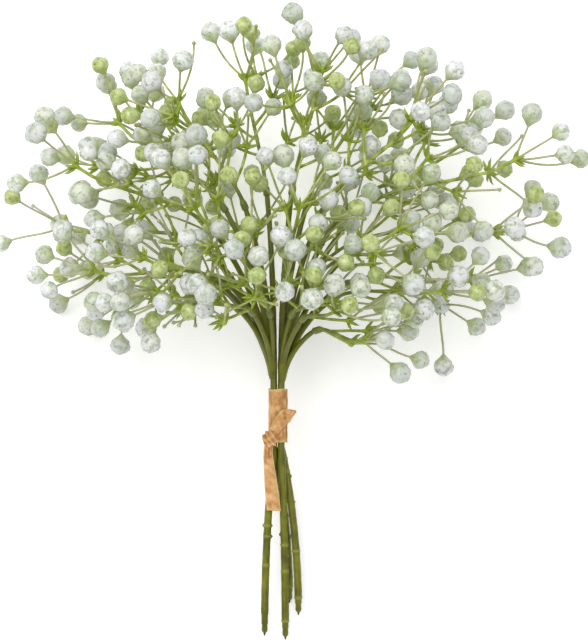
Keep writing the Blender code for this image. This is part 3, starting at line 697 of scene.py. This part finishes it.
# %% Stem plastic
STREAKS = (9.0, 5.0, 1.0)  # round the stem and along it, in its UV map
STREAK_SCALE = 1.6  # so a streak is about 0.8 mm wide, coarser than a real one, so that it shows


def stem_plastic():
    made = new_material("stem_polyethylene")
    place, finish = place_and_finish(made)
    uv = add(made, "UVMap", {"uv_map": "UVMap"})
    stretched = add(made, "Mapping", {"Scale": STREAKS}, {"Vector": uv})
    streaks = add(made, "TexNoise", {"Scale": STREAK_SCALE, "Detail": 5.0, "Roughness": 0.6},
                  {"Vector": stretched})
    patches = add(made, "TexNoise", {"Scale": repeat_every(6.25), "Detail": 4.0}, {"Vector": place})
    both = add(made, "Math", {"operation": "ADD"}, {0: streaks, 1: patches})
    half = add(made, "Math", {"operation": "MULTIPLY", 1: 0.5}, {0: both})
    olive = (0.3, "3E4206"), (0.44, "585A07"), (0.56, "6D6E0E"), (0.72, "868622")
    colour = add(made, "ValToRGB", {"stops": olive}, {"Fac": half})
    for channel, over in (("Red", "949740"), ("Green", "666D1C")):
        colour = add(made, "Mix", {"data_type": "RGBA", 7: over},
                     {0: finish[channel], 6: colour}).outputs[2]
    bump = add(made, "Bump", {"Strength": 0.35, "Distance": 0.0002}, {"Height": streaks})
    rough = add(made, "MapRange", {"To Min": 0.34, "To Max": 0.52}, {"Value": patches})
    return finished(made, {"IOR": 1.51, "Specular IOR Level": 0.35},
                    {"Base Color": colour, "Normal": bump, "Roughness": rough})


# %% [markdown]
# ## Spray plastic
# The stalks of the sprays are the same polyethylene with less dye, so they are yellow-green. They are deeper
# near the socket (red in the finish) and fresher at the knuckles (green). Towards their thin ends the flower
# stalks turn a pale greyish taupe (blue), more so on the outer sprays.


# %% Spray plastic
def spray_plastic():
    made = new_material("spray_polyethylene")
    place, finish = place_and_finish(made)
    patches = add(made, "TexNoise", {"Scale": repeat_every(3.846), "Detail": 4.0}, {"Vector": place})
    green = (0.32, "6C7A1E"), (0.46, "8F9B34"), (0.58, "A9B34E"), (0.7, "C4CC78")
    colour = add(made, "ValToRGB", {"stops": green}, {"Fac": patches})
    for channel, over in (("Red", "56611C"), ("Green", "93A828"), ("Blue", "B5B29B")):
        colour = add(made, "Mix", {"data_type": "RGBA", 7: over},
                     {0: finish[channel], 6: colour}).outputs[2]
    bump = add(made, "Bump", {"Strength": 0.25, "Distance": 0.0002}, {"Height": patches})
    rough = add(made, "MapRange", {"To Min": 0.32, "To Max": 0.5}, {"Value": patches})
    return finished(made, {"IOR": 1.51}, {"Base Color": colour, "Normal": bump, "Roughness": rough})


# %% [markdown]
# ## Bud plastic
# The buds are moulded in milky white plastic over a green neck. Light goes a little way into them. Broken
# creases part the closed petals, with painted shade in them, clouds of bluish white drift through the milk,
# and a few dark specks show. Red in the finish dulls a bud, and green makes it unripe. A cloud is about a
# third of a bud wide, 3 mm, the gaps in a crease are 2 mm long, and a speck sits in the middle of each 5 mm.


# %% Bud plastic
PETALS = 5
CREASE_BEND = 9.0  # how far the clouds push a crease aside, in radians of its wave


def bud_plastic():
    made = new_material("bud_milky_plastic")
    place, finish = place_and_finish(made)
    uv = add(made, "UVMap", {"uv_map": "UVMap"})
    on_grid = add(made, "SeparateXYZ", links={"Vector": uv}).outputs
    clouds = add(made, "TexNoise", {"Scale": repeat_every(3.333), "Detail": 4.0, "Roughness": 0.6},
                 {"Vector": place})
    milk = (0.34, "B4BFAC"), (0.44, "DCE2DA"), (0.53, "FCFCFC"), (0.64, "F0F1FF")
    milky = add(made, "ValToRGB", {"stops": milk}, {"Fac": clouds})
    dull = add(made, "Mix", {"data_type": "RGBA", 7: "B4BDAE"}, {0: finish["Red"], 6: milky}).outputs[2]
    leaf = (0.34, "93A452"), (0.46, "B3C46A"), (0.56, "C9D68A"), (0.66, "D9E2A6")
    leafy = add(made, "ValToRGB", {"stops": leaf}, {"Fac": clouds})
    colour = add(made, "Mix", {"data_type": "RGBA"}, {0: finish["Green"], 6: dull, 7: leafy}).outputs[2]

    round_it = add(made, "Math", {"operation": "MULTIPLY", 1: PETALS * math.pi}, {0: on_grid["X"]})
    bent = add(made, "Math", {"operation": "MULTIPLY_ADD", 1: CREASE_BEND}, {0: clouds, 2: round_it})
    wave = add(made, "Math", {"operation": "SINE"}, {0: bent})
    valley = add(made, "Math", {"operation": "ABSOLUTE"}, {0: wave})
    line = add(made, "MapRange", {"From Max": 0.42, "To Min": 1.0, "To Max": 0.0}, {"Value": valley})
    broken = add(made, "TexNoise", {"Scale": repeat_every(1.923), "Detail": 2.0}, {"Vector": place})
    kept = add(made, "MapRange", {"From Min": 0.46, "From Max": 0.62, "To Max": 0.62}, {"Value": broken})
    crease_and_shade = add(made, "Math", {"operation": "MULTIPLY"}, {0: line, 1: kept})

    cells = add(made, "TexVoronoi", {"Scale": repeat_every(4.762)}, {"Vector": place})
    speck = add(made, "MapRange", {"From Min": 0.07, "From Max": 0.13, "To Min": 0.7, "To Max": 0.0},
                {"Value": cells})
    level = add(made, "Math", {"operation": "MULTIPLY_ADD", 1: 0.5}, {0: clouds, 2: on_grid["Y"]})
    neck = add(made, "MapRange", {"From Min": 0.72, "From Max": 0.34, "To Max": 0.8}, {"Value": level})
    # Painted shade: the creases are darkened to 5F6B58, the shade in the folds between the petals. The specks
    # and the green neck are the bud's own colour.
    for amount, over in ((crease_and_shade, "5F6B58"), (speck, "59664C"), (neck, "B4C47A")):
        colour = add(made, "Mix", {"data_type": "RGBA", 7: over}, {0: amount, 6: colour}).outputs[2]
    bump = add(made, "Bump", {"Strength": 0.6, "Distance": 0.0005, "invert": True}, {"Height": crease_and_shade})
    lumpy = add(made, "Bump", {"Strength": 0.45, "Distance": 0.0006}, {"Height": clouds, "Normal": bump})
    return finished(made, {"Roughness": 0.24, "IOR": 1.5, "Transmission Weight": 0.22},
                    {"Base Color": colour, "Normal": lumpy})


# %% [markdown]
# ## Steel and paper
# The core wires are drawn steel, dark with mill scale. The strip is brown kraft paper, creased by hand, with
# long fibres and paler cut edges. Red in its finish is painted shade in its folds and creases, and green is a
# paler cut edge, and on the knot a painted highlight on the crests of its crumples. Real mill scale and
# paper fibres are too fine to show, so they are drawn 1 mm and 0.4 mm wide.


# %% Steel
def wire_steel():
    made = new_material("drawn_steel")
    place = add(made, "TexCoord").outputs["Object"]
    scale = add(made, "TexNoise", {"Scale": repeat_every(1.111), "Detail": 3.0}, {"Vector": place})
    dark = (0.35, "38383A"), (0.65, "68686A")
    colour = add(made, "ValToRGB", {"stops": dark}, {"Fac": scale})
    rough = add(made, "MapRange", {"To Min": 0.32, "To Max": 0.55}, {"Value": scale})
    return finished(made, {"Metallic": 1.0}, {"Base Color": colour, "Roughness": rough})


# %% Paper
def kraft_paper():
    made = new_material("kraft_paper")
    place, finish = place_and_finish(made)
    clouds = add(made, "TexNoise", {"Scale": repeat_every(4.762), "Detail": 6.0, "Roughness": 0.6},
                 {"Vector": place})
    brown = (0.32, "A87641"), (0.45, "C5935B"), (0.57, "D4A772"), (0.7, "E2BE8D")
    colour = add(made, "ValToRGB", {"stops": brown}, {"Fac": clouds})
    # Red darkens to 8A5A2C, painted shade in the folds and creases; green pales to E0CF9C at the cut edges,
    # and on the knot it is a painted highlight on the crests.
    for channel, over in (("Red", "8A5A2C"), ("Green", "E0CF9C")):
        colour = add(made, "Mix", {"data_type": "RGBA", 7: over},
                     {0: finish[channel], 6: colour}).outputs[2]
    wrinkles = add(made, "TexNoise", {
        "noise_type": "RIDGED_MULTIFRACTAL", "Scale": repeat_every(2.381), "Detail": 3.0,
    }, {"Vector": place})
    wrinkled = add(made, "Math", {"operation": "MULTIPLY_ADD", 1: 0.35}, {0: wrinkles, 2: clouds})
    long = add(made, "Mapping", {"Scale": (1.0, 0.12, 1.0)}, {"Vector": place})
    fibres = add(made, "TexNoise", {"Scale": repeat_every(0.3846), "Detail": 3.0}, {"Vector": long})
    fine = add(made, "Bump", {"Strength": 0.25, "Distance": 0.0001}, {"Height": fibres})
    crumpled = add(made, "Bump", {"Strength": 0.8, "Distance": 0.0008},
                   {"Height": wrinkled, "Normal": fine})
    return finished(made, {"Roughness": 0.8, "Specular IOR Level": 0.35},
                    {"Base Color": colour, "Normal": crumpled})


STEM_PLASTIC = stem_plastic()
SPRAY_PLASTIC = spray_plastic()
BUD_PLASTIC = bud_plastic()
WIRE_STEEL = wire_steel()
KRAFT_PAPER = kraft_paper()
print("materials made:", len(bpy.data.materials))

# %% [markdown]
# ## Stems
# Each stem is one tube with growth rings, small scars where side shoots were cut from the mould, and a
# stepped end where the sleeve was trimmed back to its core. The branches leave it with flared roots, which
# stand in for the webs of the moulding.

# %% Stem rings, scars and sleeves, as distances from the cut end
RINGS = {
    "stem_front_left": (32.0, 45.6, 50.8),
    "stem_front_right": (7.4, 31.0, 43.3),
    "stem_back_right": (6.8, 29.0, 67.0, 73.0),
    "stem_back_left": (6.4, 40.0),
}
SCARS = {  # each a distance, and a place round the stem in radians
    "stem_front_left": ((45.6, 0.0), (50.8, 0.5), (50.8, 3.1), (73.0, 3.3)),
    "stem_front_right": ((48.5, 3.1), (38.0, 0.6)),
    "stem_back_right": ((64.5, 0.1), (52.0, 0.4)),
    "stem_back_left": ((30.0, 0.0),),
}
SLEEVE_ENDS = {"stem_front_left": 8.5, "stem_front_right": 7.0, "stem_back_right": 6.5, "stem_back_left": 6.0}
SLEEVE_STEP = 0.88  # a trimmed end's share of the stem's thickness
CUT_END = np.array([0.0, 0.0, 0.3, 0.8, 1.4, 3.9, 4.3])
CUT_END_R = (0.0, 0.62, 1.0, 1.3, 1.45, 1.52, 1.8)
RING = (0.26, 0.55)  # height and width
SCAR = (0.85, 0.6, 0.32)  # height, width along the stem, and width round it in radians
ROOT_FLARE = (0.35, 3.5)  # height and width
LIMB_TIP = (0.8, 0.0)  # radii that close a limb inside its socket


def bell(x, width):
    """A bump of height one: exp of minus the square of x over width."""
    return np.exp(-((x / width) ** 2))


def stem_surface(stem, path):
    """The tube's radius is the stem's, plus a bell at each ring and a narrow bell at each scar."""
    sides = 16
    strip_start, strip_end = path.distance[ARC_POINTS - 1], path.distance[ARC_POINTS] + 1.0
    end = path.length
    s = np.concatenate((CUT_END, np.arange(5.0, strip_start, 0.8), np.linspace(strip_start, end, 46),
                        [end + 0.5, end + 0.5]))
    radius = np.interp(s, [0.0, strip_start - 3.0, strip_start, strip_end, end],
                       [STEM_R, STEM_R, STEM_R_IN_STRIP, STEM_R_IN_STRIP, BRANCH_R[1]])
    radius += 0.03 * np.sin(s * 0.7) + 0.02 * np.sin(s * 1.9)
    radius[:len(CUT_END)] = CUT_END_R
    radius[5:] *= np.where(s[5:] < SLEEVE_ENDS[stem.name], SLEEVE_STEP, 1.0)
    radius[-2:] = LIMB_TIP
    rings = sum(bell(s - ring, RING[1]) for ring in RINGS[stem.name])
    angle = 2 * np.pi * np.arange(sides) / sides
    radius = (radius + RING[0] * rings)[:, None] + np.zeros(sides)
    for place, side in SCARS[stem.name]:
        off = np.abs((angle - side + np.pi) % (2 * np.pi) - np.pi)
        radius += SCAR[0] * bell(s - place, SCAR[1])[:, None] * bell(off, SCAR[2])[None, :]
    grown = np.clip((s - strip_end) / (end - strip_end), 0.0, 1.0) * 0.6
    return tube(path, s, radius, sides), channels(s, np.clip(0.75 * rings, 0.0, 0.75), grown)


def branch_surface(limb, socket):
    """A tapering tube whose radius has a wide bell at its root."""
    s = np.concatenate(([0.0, 0.0], np.linspace(1.0, socket, 26), [socket + 0.5, socket + 0.5]))
    radius = np.interp(s, [0.0, socket], BRANCH_R) + ROOT_FLARE[0] * bell(s - 3.5, ROOT_FLARE[1])
    radius += 0.03 * np.sin(s * 0.9)
    radius[:2] = [0.0, 0.9]
    radius[-2:] = LIMB_TIP
    return tube(limb, s, radius, 10), channels(s, green=0.15 + 0.5 * np.clip(s / socket, 0.0, 1.0))


# %% Make the stems
for index, (stem, path) in enumerate(zip(STEMS, stems)):
    surface = Surface()
    surface.add(*stem_surface(stem, path))
    own = [number for number, facts in enumerate(SPRAYS) if facts.stem == index]
    for number in own[1:]:
        surface.add(*branch_surface(sprays[number]["limb"], sprays[number]["socket"]))
    piece = surface.make(stem.name + "_moulding", stem.name, "stem_plastic", STEM_PLASTIC)
    print(piece.name, "faces:", len(piece.data.polygons))

# %% [markdown]
# ## Core wires
# Only the last millimetre of each wire shows, as a dark point at the cut end.

# %% Make the wires
WIRE_SHOWN = 20.0  # how far the new piece runs up inside the stem
for stem, path in zip(STEMS, stems):
    surface = Surface()
    s = [-WIRE_TIP, -1.3, -0.9, -0.4, 0.0, WIRE_SHOWN, WIRE_SHOWN]
    radii = [0.0, 0.24, 0.42, 0.53, WIRE_R, WIRE_R, 0.0]
    surface.add(tube(path, s, radii, 12), (0.0, 0.0, 0.0))
    piece = surface.make(wire_name(stem) + "_point", wire_name(stem), "wire_steel", WIRE_STEEL)
    print(piece.name, "faces:", len(piece.data.polygons))

# %% [markdown]
# ## Sprays
# A spray's stalks are thin tubes. Each ends in a knuckle, a small swelling from which the flower stalks
# spread, with flared roots and a ring of small pointed blades, the bracts. Flower stalks, bracts and buds are
# repeated hundreds of times, so each has only a few dozen faces.


# %% Stalks
def main_stalk(limb, socket):
    """The socket's sleeve, a cone down to the stalk, and a bell at the end for the knuckle."""
    mouth = socket + SEAT_GAP
    end = limb.length
    s = mouth + np.array([1.0, 1.0, 0.0, 0.0, 0.3, SOCKET_DEPTH - 0.4, SOCKET_DEPTH, SOCKET_DEPTH + 1.2,
                          SOCKET_DEPTH + SOCKET_CONE])
    radius = np.array([0.0, 0.8, 0.9, 1.5, 1.72, 1.72, 1.55, 1.12, STALK_R[0]])
    rest = np.linspace(s[-1] + 2.0, end - 4.0, 12)
    taper = np.interp(rest, [s[-1], end], STALK_R)
    tip = end + np.array([-2.6, -1.3, -0.4, 0.5, 1.2, 1.6])
    swell = np.array([0.86, 1.15, 1.5, 1.45, 0.95, 0.0])
    return np.concatenate((s, rest, tip)), np.concatenate((radius, taper, swell))


def side_stalk(line):
    """A thin stalk with a flared root and the same knuckle."""
    tip = line.length + np.array([-1.6, -0.6, 0.4, 1.1, 1.5])
    s = np.concatenate((np.linspace(-0.5, line.length - 3.0, 8), tip))
    radius = np.full(len(s), SIDE_STALK_R) + 0.35 * bell(s - 0.5, 1.6)
    radius[-len(tip):] = [1.0, 1.4, 1.4, 0.9, 0.0]
    return s, radius


def flower_stalk(line, radius, kind):
    """A thin stalk with a flared root. It ends inside the bud's neck, or in a small bare knob."""
    s = np.concatenate(([0.4, 1.4], np.linspace(3.0, line.length, 7)))
    thick = np.full(len(s), FLOWER_STALK_R * 0.9) + 0.4 * bell(s - 0.4, 1.7)
    if kind == "bare":
        knob = line.length + radius * np.array([0.35, 0.9, 1.5, 1.9])
        return np.concatenate((s, knob)), np.concatenate((thick, radius * np.array([0.8, 1.0, 0.75, 0.0])))
    return s, thick


# %% Bracts
BRACTS = 8  # round each knuckle
BRACT_LENGTH = (4.0, 8.0)
BRACT_WIDTH = 1.6
BRACT_HALF_THICK = 0.3
BRACT_LEAN = (35.0, 80.0)


def bract_rows(line, draw):
    """A short pointed blade: wide in the middle and flat, as a tube of four sides with two radii."""
    s = line.length * np.array([0.0, 0.3, 0.7, 1.0])
    wide = BRACT_WIDTH / 2 * np.array([0.7, 1.0, 0.75, 0.0]) * draw.uniform(0.8, 1.2)
    flat = BRACT_HALF_THICK * np.array([1.0, 1.0, 0.8, 0.0])
    return tube(line, s, np.stack((wide, flat, wide, flat), axis=1), 4)


def bracts(knuckle, draw):
    """Blades round a knuckle, leaning outward and curving back towards the stalk's direction."""
    centre, *axes = knuckle.at(knuckle.length - 0.8)
    turn = draw.uniform(0.0, 360.0)
    made = []
    for index in range(BRACTS):
        angle = math.radians(turn + 360.0 * index / BRACTS + draw.uniform(-20.0, 20.0))
        lean = math.radians(draw.uniform(*BRACT_LEAN))
        heading, sideways = leaning(axes, angle, lean)
        end = centre + draw.uniform(*BRACT_LENGTH) * heading
        line = Line(arc(centre, unit(heading + sideways), end, unit(heading + 0.6 * axes[0]), 5))
        if room.holds(end, BRACT_HALF_THICK):
            made.append(bract_rows(line, draw))
    return made


# %% Buds
BUD_COLUMNS = 10  # two for each of the five petals
BUD_ALONG = np.array([-0.42, -0.12, 0.28, 0.78, 1.24, 1.62, 1.8, 1.7])  # in the bud's radii
BUD_ACROSS = np.array([0.15, 0.4, 0.83, 1.0, 0.88, 0.52, 0.2, 0.0])
PETAL_SHARE = np.array([0.0, 0.0, 0.5, 1.0, 1.3, 2.0, 2.0, 0.0])  # how strongly each row shows the petals
BUD_WIDER = 1.01
BUD_OVAL = 0.03
BUD_OVAL_TURN = (0.0, 6.3)  # radians, any way round


def bud_surface(line, radius, draw):
    """A ball on a neck: a profile turned round the stalk's end, with five petals as a wave of five periods
    that fades towards both ends, and a pit pressed into its crown."""
    long = draw.uniform(0.92, 1.03)
    petal = draw.uniform(0.02, 0.05)
    s = line.length + radius * np.where(BUD_ALONG > 0.0, BUD_ALONG * long, BUD_ALONG)
    wave = np.cos(np.pi * np.arange(BUD_COLUMNS))[None, :]
    across = radius * BUD_ACROSS[:, None] * (BUD_WIDER + petal * PETAL_SHARE[:, None] * wave)
    lump = draw.uniform(*BUD_OVAL_TURN)
    columns = 2 * np.pi * np.arange(BUD_COLUMNS) / BUD_COLUMNS
    across = across * (1.0 + BUD_OVAL * np.cos(2 * columns + lump)[None, :])
    twist = draw.uniform(0.2, 0.6) * BUD_ALONG
    return tube(line, s, across, BUD_COLUMNS, twist)


# %% Finish of the sprays
OUTER = (20, 55)  # degrees to the side: from here on the ends turn taupe, and up to here they turn more so
DEEP = (0.8, 55.0)  # strength at the socket, and the length over which it fades
FRESH = (0.9, 5.0)  # strength and width at the main knuckle

# %% Make the sprays
draw = random.Random(SEED)
faces = 0
for number, spray in enumerate(sprays):
    name = f"spray_{number + 1:02d}"
    outer = min(max((abs(SPRAYS[number].side) - OUTER[0]) / (OUTER[1] - OUTER[0]), 0.0), 1.0)
    taupe = outer * draw.uniform(0.6, 1.0)
    stalks, buds = Surface(), Surface()
    s, radius = main_stalk(spray["limb"], spray["socket"])
    deep = np.clip(1.0 - (s - s[2]) / DEEP[1], 0.0, 1.0) * DEEP[0]
    fresh = bell(s - spray["limb"].length, FRESH[1]) * FRESH[0]
    stalks.add(tube(spray["limb"], s, radius, 8), channels(s, deep, fresh))
    for line in spray["stalks"]:
        s, radius = side_stalk(line)
        stalks.add(tube(line, s, radius, 7), channels(s, green=bell(s - line.length, 4.0) * 0.9))
    for knuckle in spray["knuckles"]:
        for grid in bracts(knuckle, draw):
            stalks.add(grid, (0.0, draw.uniform(0.5, 1.0), 0.0))
    for line, bud_radius, kind in spray["flowers"]:
        s, radius = flower_stalk(line, bud_radius, kind)
        fresh = bell(s, 3.5) * (0.85 - 0.4 * taupe)
        taupe_tint = (0.3 + 0.65 * taupe) * np.clip(0.3 + s / line.length, 0.0, 1.0)
        stalks.add(tube(line, s, radius, 5), channels(s, green=fresh, blue=taupe_tint))
        if kind != "bare":
            green = 0.95 if kind == "green" else 0.4 * draw.random() ** 2
            buds.add(bud_surface(line, bud_radius, draw), (0.6 * draw.random() ** 2, green, 0.0))
    for piece in (stalks.make(name + "_stalks", name, "spray_plastic", SPRAY_PLASTIC),
                  buds.make(name + "_buds", name, "bud_plastic", BUD_PLASTIC)):
        faces += len(piece.data.polygons)
print("faces of the sprays:", faces)

# %% [markdown]
# ## Paper strip
# The strip goes round the stems as a wide band, is knotted in front, and leaves a short pointed end and a
# long tail. Each part is a thin sheet: a mid-surface, with the two faces half the paper's thickness to either
# side of it.

# %% Sheets
PAPER = 0.45  # thickness
SMOOTHINGS = 4


def sheet(surface, middle, fold_shade, edges):
    """Adds a closed sheet: the mid-surface, moved to both sides along its own normals, and rolled round
    its edges into one grid of columns, with the painted shade of its folds and how close to an edge each
    point is."""
    finish = np.zeros(middle.shape)
    finish[..., 0], finish[..., 1] = fold_shade, edges
    along = np.gradient(middle, axis=0)
    across = np.gradient(middle, axis=1)
    normal = np.cross(across, along)
    normal /= np.linalg.norm(normal, axis=2)[..., None]
    front = middle + normal * PAPER / 2
    back = middle - normal * PAPER / 2
    grid = np.concatenate((back, front[:, ::-1]), axis=1)
    first, last = (np.broadcast_to(row.mean(axis=0), row.shape)[None] for row in (grid[0], grid[-1]))
    grid = np.concatenate((first, grid, last))
    tones = np.concatenate((finish, finish[:, ::-1]), axis=1)
    tones = np.concatenate((tones[:1], tones, tones[-1:]))
    surface.add(grid, tones)


def ribbon(points, widths, rows, columns):
    """A flat ribbon through points: centre(s) + u * half width(s) * across(s), with u from -1 to 1. The
    centre line is smoothed by averaging each point with its neighbours a few times."""
    line = Line(np.array(points))
    s = np.linspace(0.0, line.length, rows)
    smooth = line.read(np.array(points), s).T.copy()
    for _ in range(SMOOTHINGS):
        smooth[1:-1] = (smooth[:-2] + 2 * smooth[1:-1] + smooth[2:]) / 4
    tangent = np.gradient(smooth, axis=0)
    tangent /= np.linalg.norm(tangent, axis=1)[:, None]
    across = np.cross(tangent, UP)
    across /= np.linalg.norm(across, axis=1)[:, None]
    half = np.interp(s, line.distance, widths) / 2
    u = np.linspace(-1.0, 1.0, columns)
    return smooth[:, None] + (u[None, :] * half[:, None])[..., None] * across[:, None], s, u


# %% Band
BAND_CREASES = (55, 128)  # degrees round the stems
BAND_TURNS = (-60, 360)  # the strip overlaps itself on the right
BAND_R = 3.98
BAND_LAYER = (0.5, 290)  # how far the outer layer stands off, and from which degree on


def band(surface):
    """Round the stems: a rounded square, (cos^4 + sin^4) to the power -1/4, whose radius grows by a layer
    over the overlap, with shallow folds as sines of angle and height."""
    turns = np.linspace(math.radians(BAND_TURNS[0]), math.radians(BAND_TURNS[1]), 73)
    rows = np.linspace(STRIP_BOTTOM, STRIP_TOP, 31)
    a, y = np.meshgrid(turns, rows)
    square = (np.cos(a) ** 4 + np.sin(a) ** 4) ** -0.25
    reach = BAND_R + BAND_LAYER[0] * np.clip((a - math.radians(BAND_LAYER[1])) / 0.5, 0.0, 1.0)
    folds = 0.10 * np.sin(3 * a + 0.25 * y) + 0.07 * np.sin(7 * a - 0.6 * y) + 0.06 * np.sin(1.1 * y + 2 * a)
    pressed = sum(bell(a - math.radians(crease_and_shade), 0.09) for crease_and_shade in BAND_CREASES)
    reach = reach + folds * 0.9 - 0.12 * pressed
    x, z = reach * square * np.cos(a), reach * square * np.sin(a)
    middle = np.stack((x, y + 0.25 * np.sin(2 * a), z), axis=-1)
    edge = np.minimum(np.abs(rows - STRIP_BOTTOM), np.abs(rows - STRIP_TOP))
    # Painted shade: darker in the pressed creases and where the folds dip in.
    sheet(surface, middle, np.clip(0.55 * pressed - 3.0 * folds, 0.0, 0.6), bell(edge, 0.7)[:, None] * 0.8)


# %% Short end and tail
SHORT_END = ((-3.4, -10.0, 5.2), (0.5, -3.5, 4.9), (4.2, 0.6, 4.9), (8.8, 2.4, 4.4))
SHORT_END_WIDTHS = (3.6, 5.6, 6.8, 0.6)
TAIL = ((-3.6, -10.5, 5.4), (-4.5, -17.0, 5.3), (-3.7, -26.0, 4.8), (-2.6, -36.0, 5.2), (-1.7, -44.5, 4.7))
TAIL_WIDTHS = (4.0, 4.3, 5.4, 6.5, 6.65)


def short_end(surface):
    """A ribbon that arches across its width and ripples along it."""
    middle, s, u = ribbon(SHORT_END, SHORT_END_WIDTHS, 22, 11)
    roll = 0.55 * (1 - u[None, :] ** 2) + 0.16 * np.sin(1.3 * s[:, None] + 2.5 * u[None, :])
    middle[..., 2] += roll
    # Painted shade along slanting fold lines.
    fold_shade = np.clip(0.5 * np.sin(2.2 * s[:, None] + 4 * u[None, :]) - 0.1, 0.0, 0.4)
    sheet(surface, middle, fold_shade, bell(1 - np.abs(u), 0.12)[None, :] * 0.5)


def tail(surface):
    """A ribbon with long waves, gathered into folds where it leaves the knot, and cut slightly askew."""
    middle, s, u = ribbon(TAIL, TAIL_WIDTHS, 44, 13)
    waves = 0.22 * np.sin(0.45 * s)[:, None] * u[None, :] + 0.10 * np.sin(1.4 * s[:, None] + 3 * u[None, :])
    gather = np.clip(1 - s / 12.0, 0.0, 1.0)[:, None]
    waves = waves + gather * 0.35 * np.sin(9 * u[None, :])
    middle[..., 2] += waves
    middle[..., 1] += (s / s[-1])[:, None] ** 6 * 0.6 * u[None, :]
    # Painted shade: darker in the troughs of the gathered folds and of the waves.
    fold_shade = np.clip(gather * (0.5 - 0.5 * np.sin(9 * u[None, :])) - 2.0 * waves, 0.0, 0.55)
    edge = np.minimum(1 - np.abs(u)[None, :], (s[-1] - s)[:, None] / 4.0)
    sheet(surface, middle, fold_shade, bell(edge, 0.12) * 0.7)


# %% Knot
KNOT_MIDDLE = np.array((-3.2, -10.4, 5.6))
KNOT_R = np.array((4.1, 4.4, 2.1))


def knot(surface):
    """A crumpled ball: an ellipsoid whose radius has sharp ridges, one minus twice the absolute value of a
    sine, that run slanting over it."""
    v = np.linspace(0.0, np.pi, 49)[:, None]
    a = (2 * np.pi * np.arange(72) / 72)[None, :]
    ball_points = np.stack((np.sin(v) * np.cos(a), -np.cos(v) + 0 * a, np.sin(v) * np.sin(a)), axis=-1)
    x, y, z = np.moveaxis(ball_points, -1, 0)
    slant = 1.0 - 2.0 * np.abs(np.sin(4.6 * (x + 0.75 * y) + 0.8 * z))
    other = 1.0 - 2.0 * np.abs(np.sin(3.1 * (y - 0.6 * x) + 1.3 + 1.5 * z))
    ridges = 0.095 * slant + 0.07 * other
    middle = KNOT_MIDDLE + KNOT_R * ball_points * (1.0 + ridges)[..., None]
    finish = np.zeros(middle.shape)
    # Red is painted shade in the hollows between the ridges, and green is a painted highlight on their
    # crests.
    finish[..., 0] = np.clip(-5.0 * ridges, 0.0, 0.6)
    finish[..., 1] = np.clip(4.0 * ridges - 0.2, 0.0, 0.35)
    surface.add(middle, finish)


# %% Make the strip
strip = Surface()
band(strip)
short_end(strip)
tail(strip)
knot(strip)
piece = strip.make("paper_strip_sheet", "paper_strip", "brown_paper", KRAFT_PAPER)
print(piece.name, "faces:", len(piece.data.polygons))

# %% [markdown]
# ## Studio
# The bunch lies on a plain, nearly white floor in soft light from all round, with one large soft lamp from
# the upper left to shape the buds. The floor glows faintly, so the shadow on it stays as pale as in a
# product photo. The camera looks straight down on the bunch from far away with a long lens, so that nothing
# looks bent.

# %% Floor
FLOOR_HALF = 30.0  # metres, so that its edge stays far away in a low view
FLOOR_DROP = 0.0003
floor_mesh = bpy.data.meshes.new("studio_floor")
corners = [(x * FLOOR_HALF, y * FLOOR_HALF, -FLOOR_DROP) for x, y in ((-1, -1), (1, -1), (1, 1), (-1, 1))]
floor_mesh.from_pydata(corners, [], [(0, 1, 2, 3)])
floor = bpy.data.objects.new("studio_floor", floor_mesh)
bpy.context.scene.collection.objects.link(floor)
floor_paint = finished(new_material("studio_floor_paint"), {
    "Base Color": "F2F2F2", "Roughness": 0.9, "Specular IOR Level": 0.1,
    "Emission Color": "FFFFFF", "Emission Strength": 0.3,
})
floor_mesh.materials.append(floor_paint)

# %% Light
SKY_STRENGTH = 0.68
LAMP_PLACE = (-0.35, 0.4, 1.6)
LAMP_SIZE = 1.6
LAMP_WATTS = 22.0
world = bpy.data.worlds.new("studio")
bpy.context.scene.world = world
world.use_nodes = True
put(world.node_tree.nodes["Background"], "Color", "FFFFFF")
put(world.node_tree.nodes["Background"], "Strength", SKY_STRENGTH)
light = bpy.data.lights.new("key", "AREA")
light.size = LAMP_SIZE
light.energy = LAMP_WATTS
lamp = bpy.data.objects.new("key", light)
bpy.context.scene.collection.objects.link(lamp)
back = unit(np.array(LAMP_PLACE))
side = unit(np.cross((0.0, 1.0, 0.0), back))
axes = Matrix(np.column_stack((side, np.cross(back, side), back)))
lamp.matrix_world = Matrix.Translation(LAMP_PLACE) @ axes.to_4x4()
bpy.context.scene.view_settings.view_transform = "Standard"

# %% Camera
CAMERA_AIM = (0.0078, 0.0454)
CAMERA_AWAY = 1.2
FRAME_LONG_SIDE = 0.3027
SENSOR = 36.0
camera = bpy.data.objects.new("camera", bpy.data.cameras.new("camera"))
bpy.context.scene.collection.objects.link(camera)
bunch = Matrix.Translation(SHIFT) @ Matrix.Rotation(math.radians(TILT), 4, "X")
camera.matrix_world = bunch @ Matrix.Translation((*CAMERA_AIM, CAMERA_AWAY))
camera.data.sensor_width = SENSOR
camera.data.lens = SENSOR * CAMERA_AWAY / FRAME_LONG_SIDE
bpy.context.scene.camera = camera
print("lens:", round(camera.data.lens, 1), "mm")
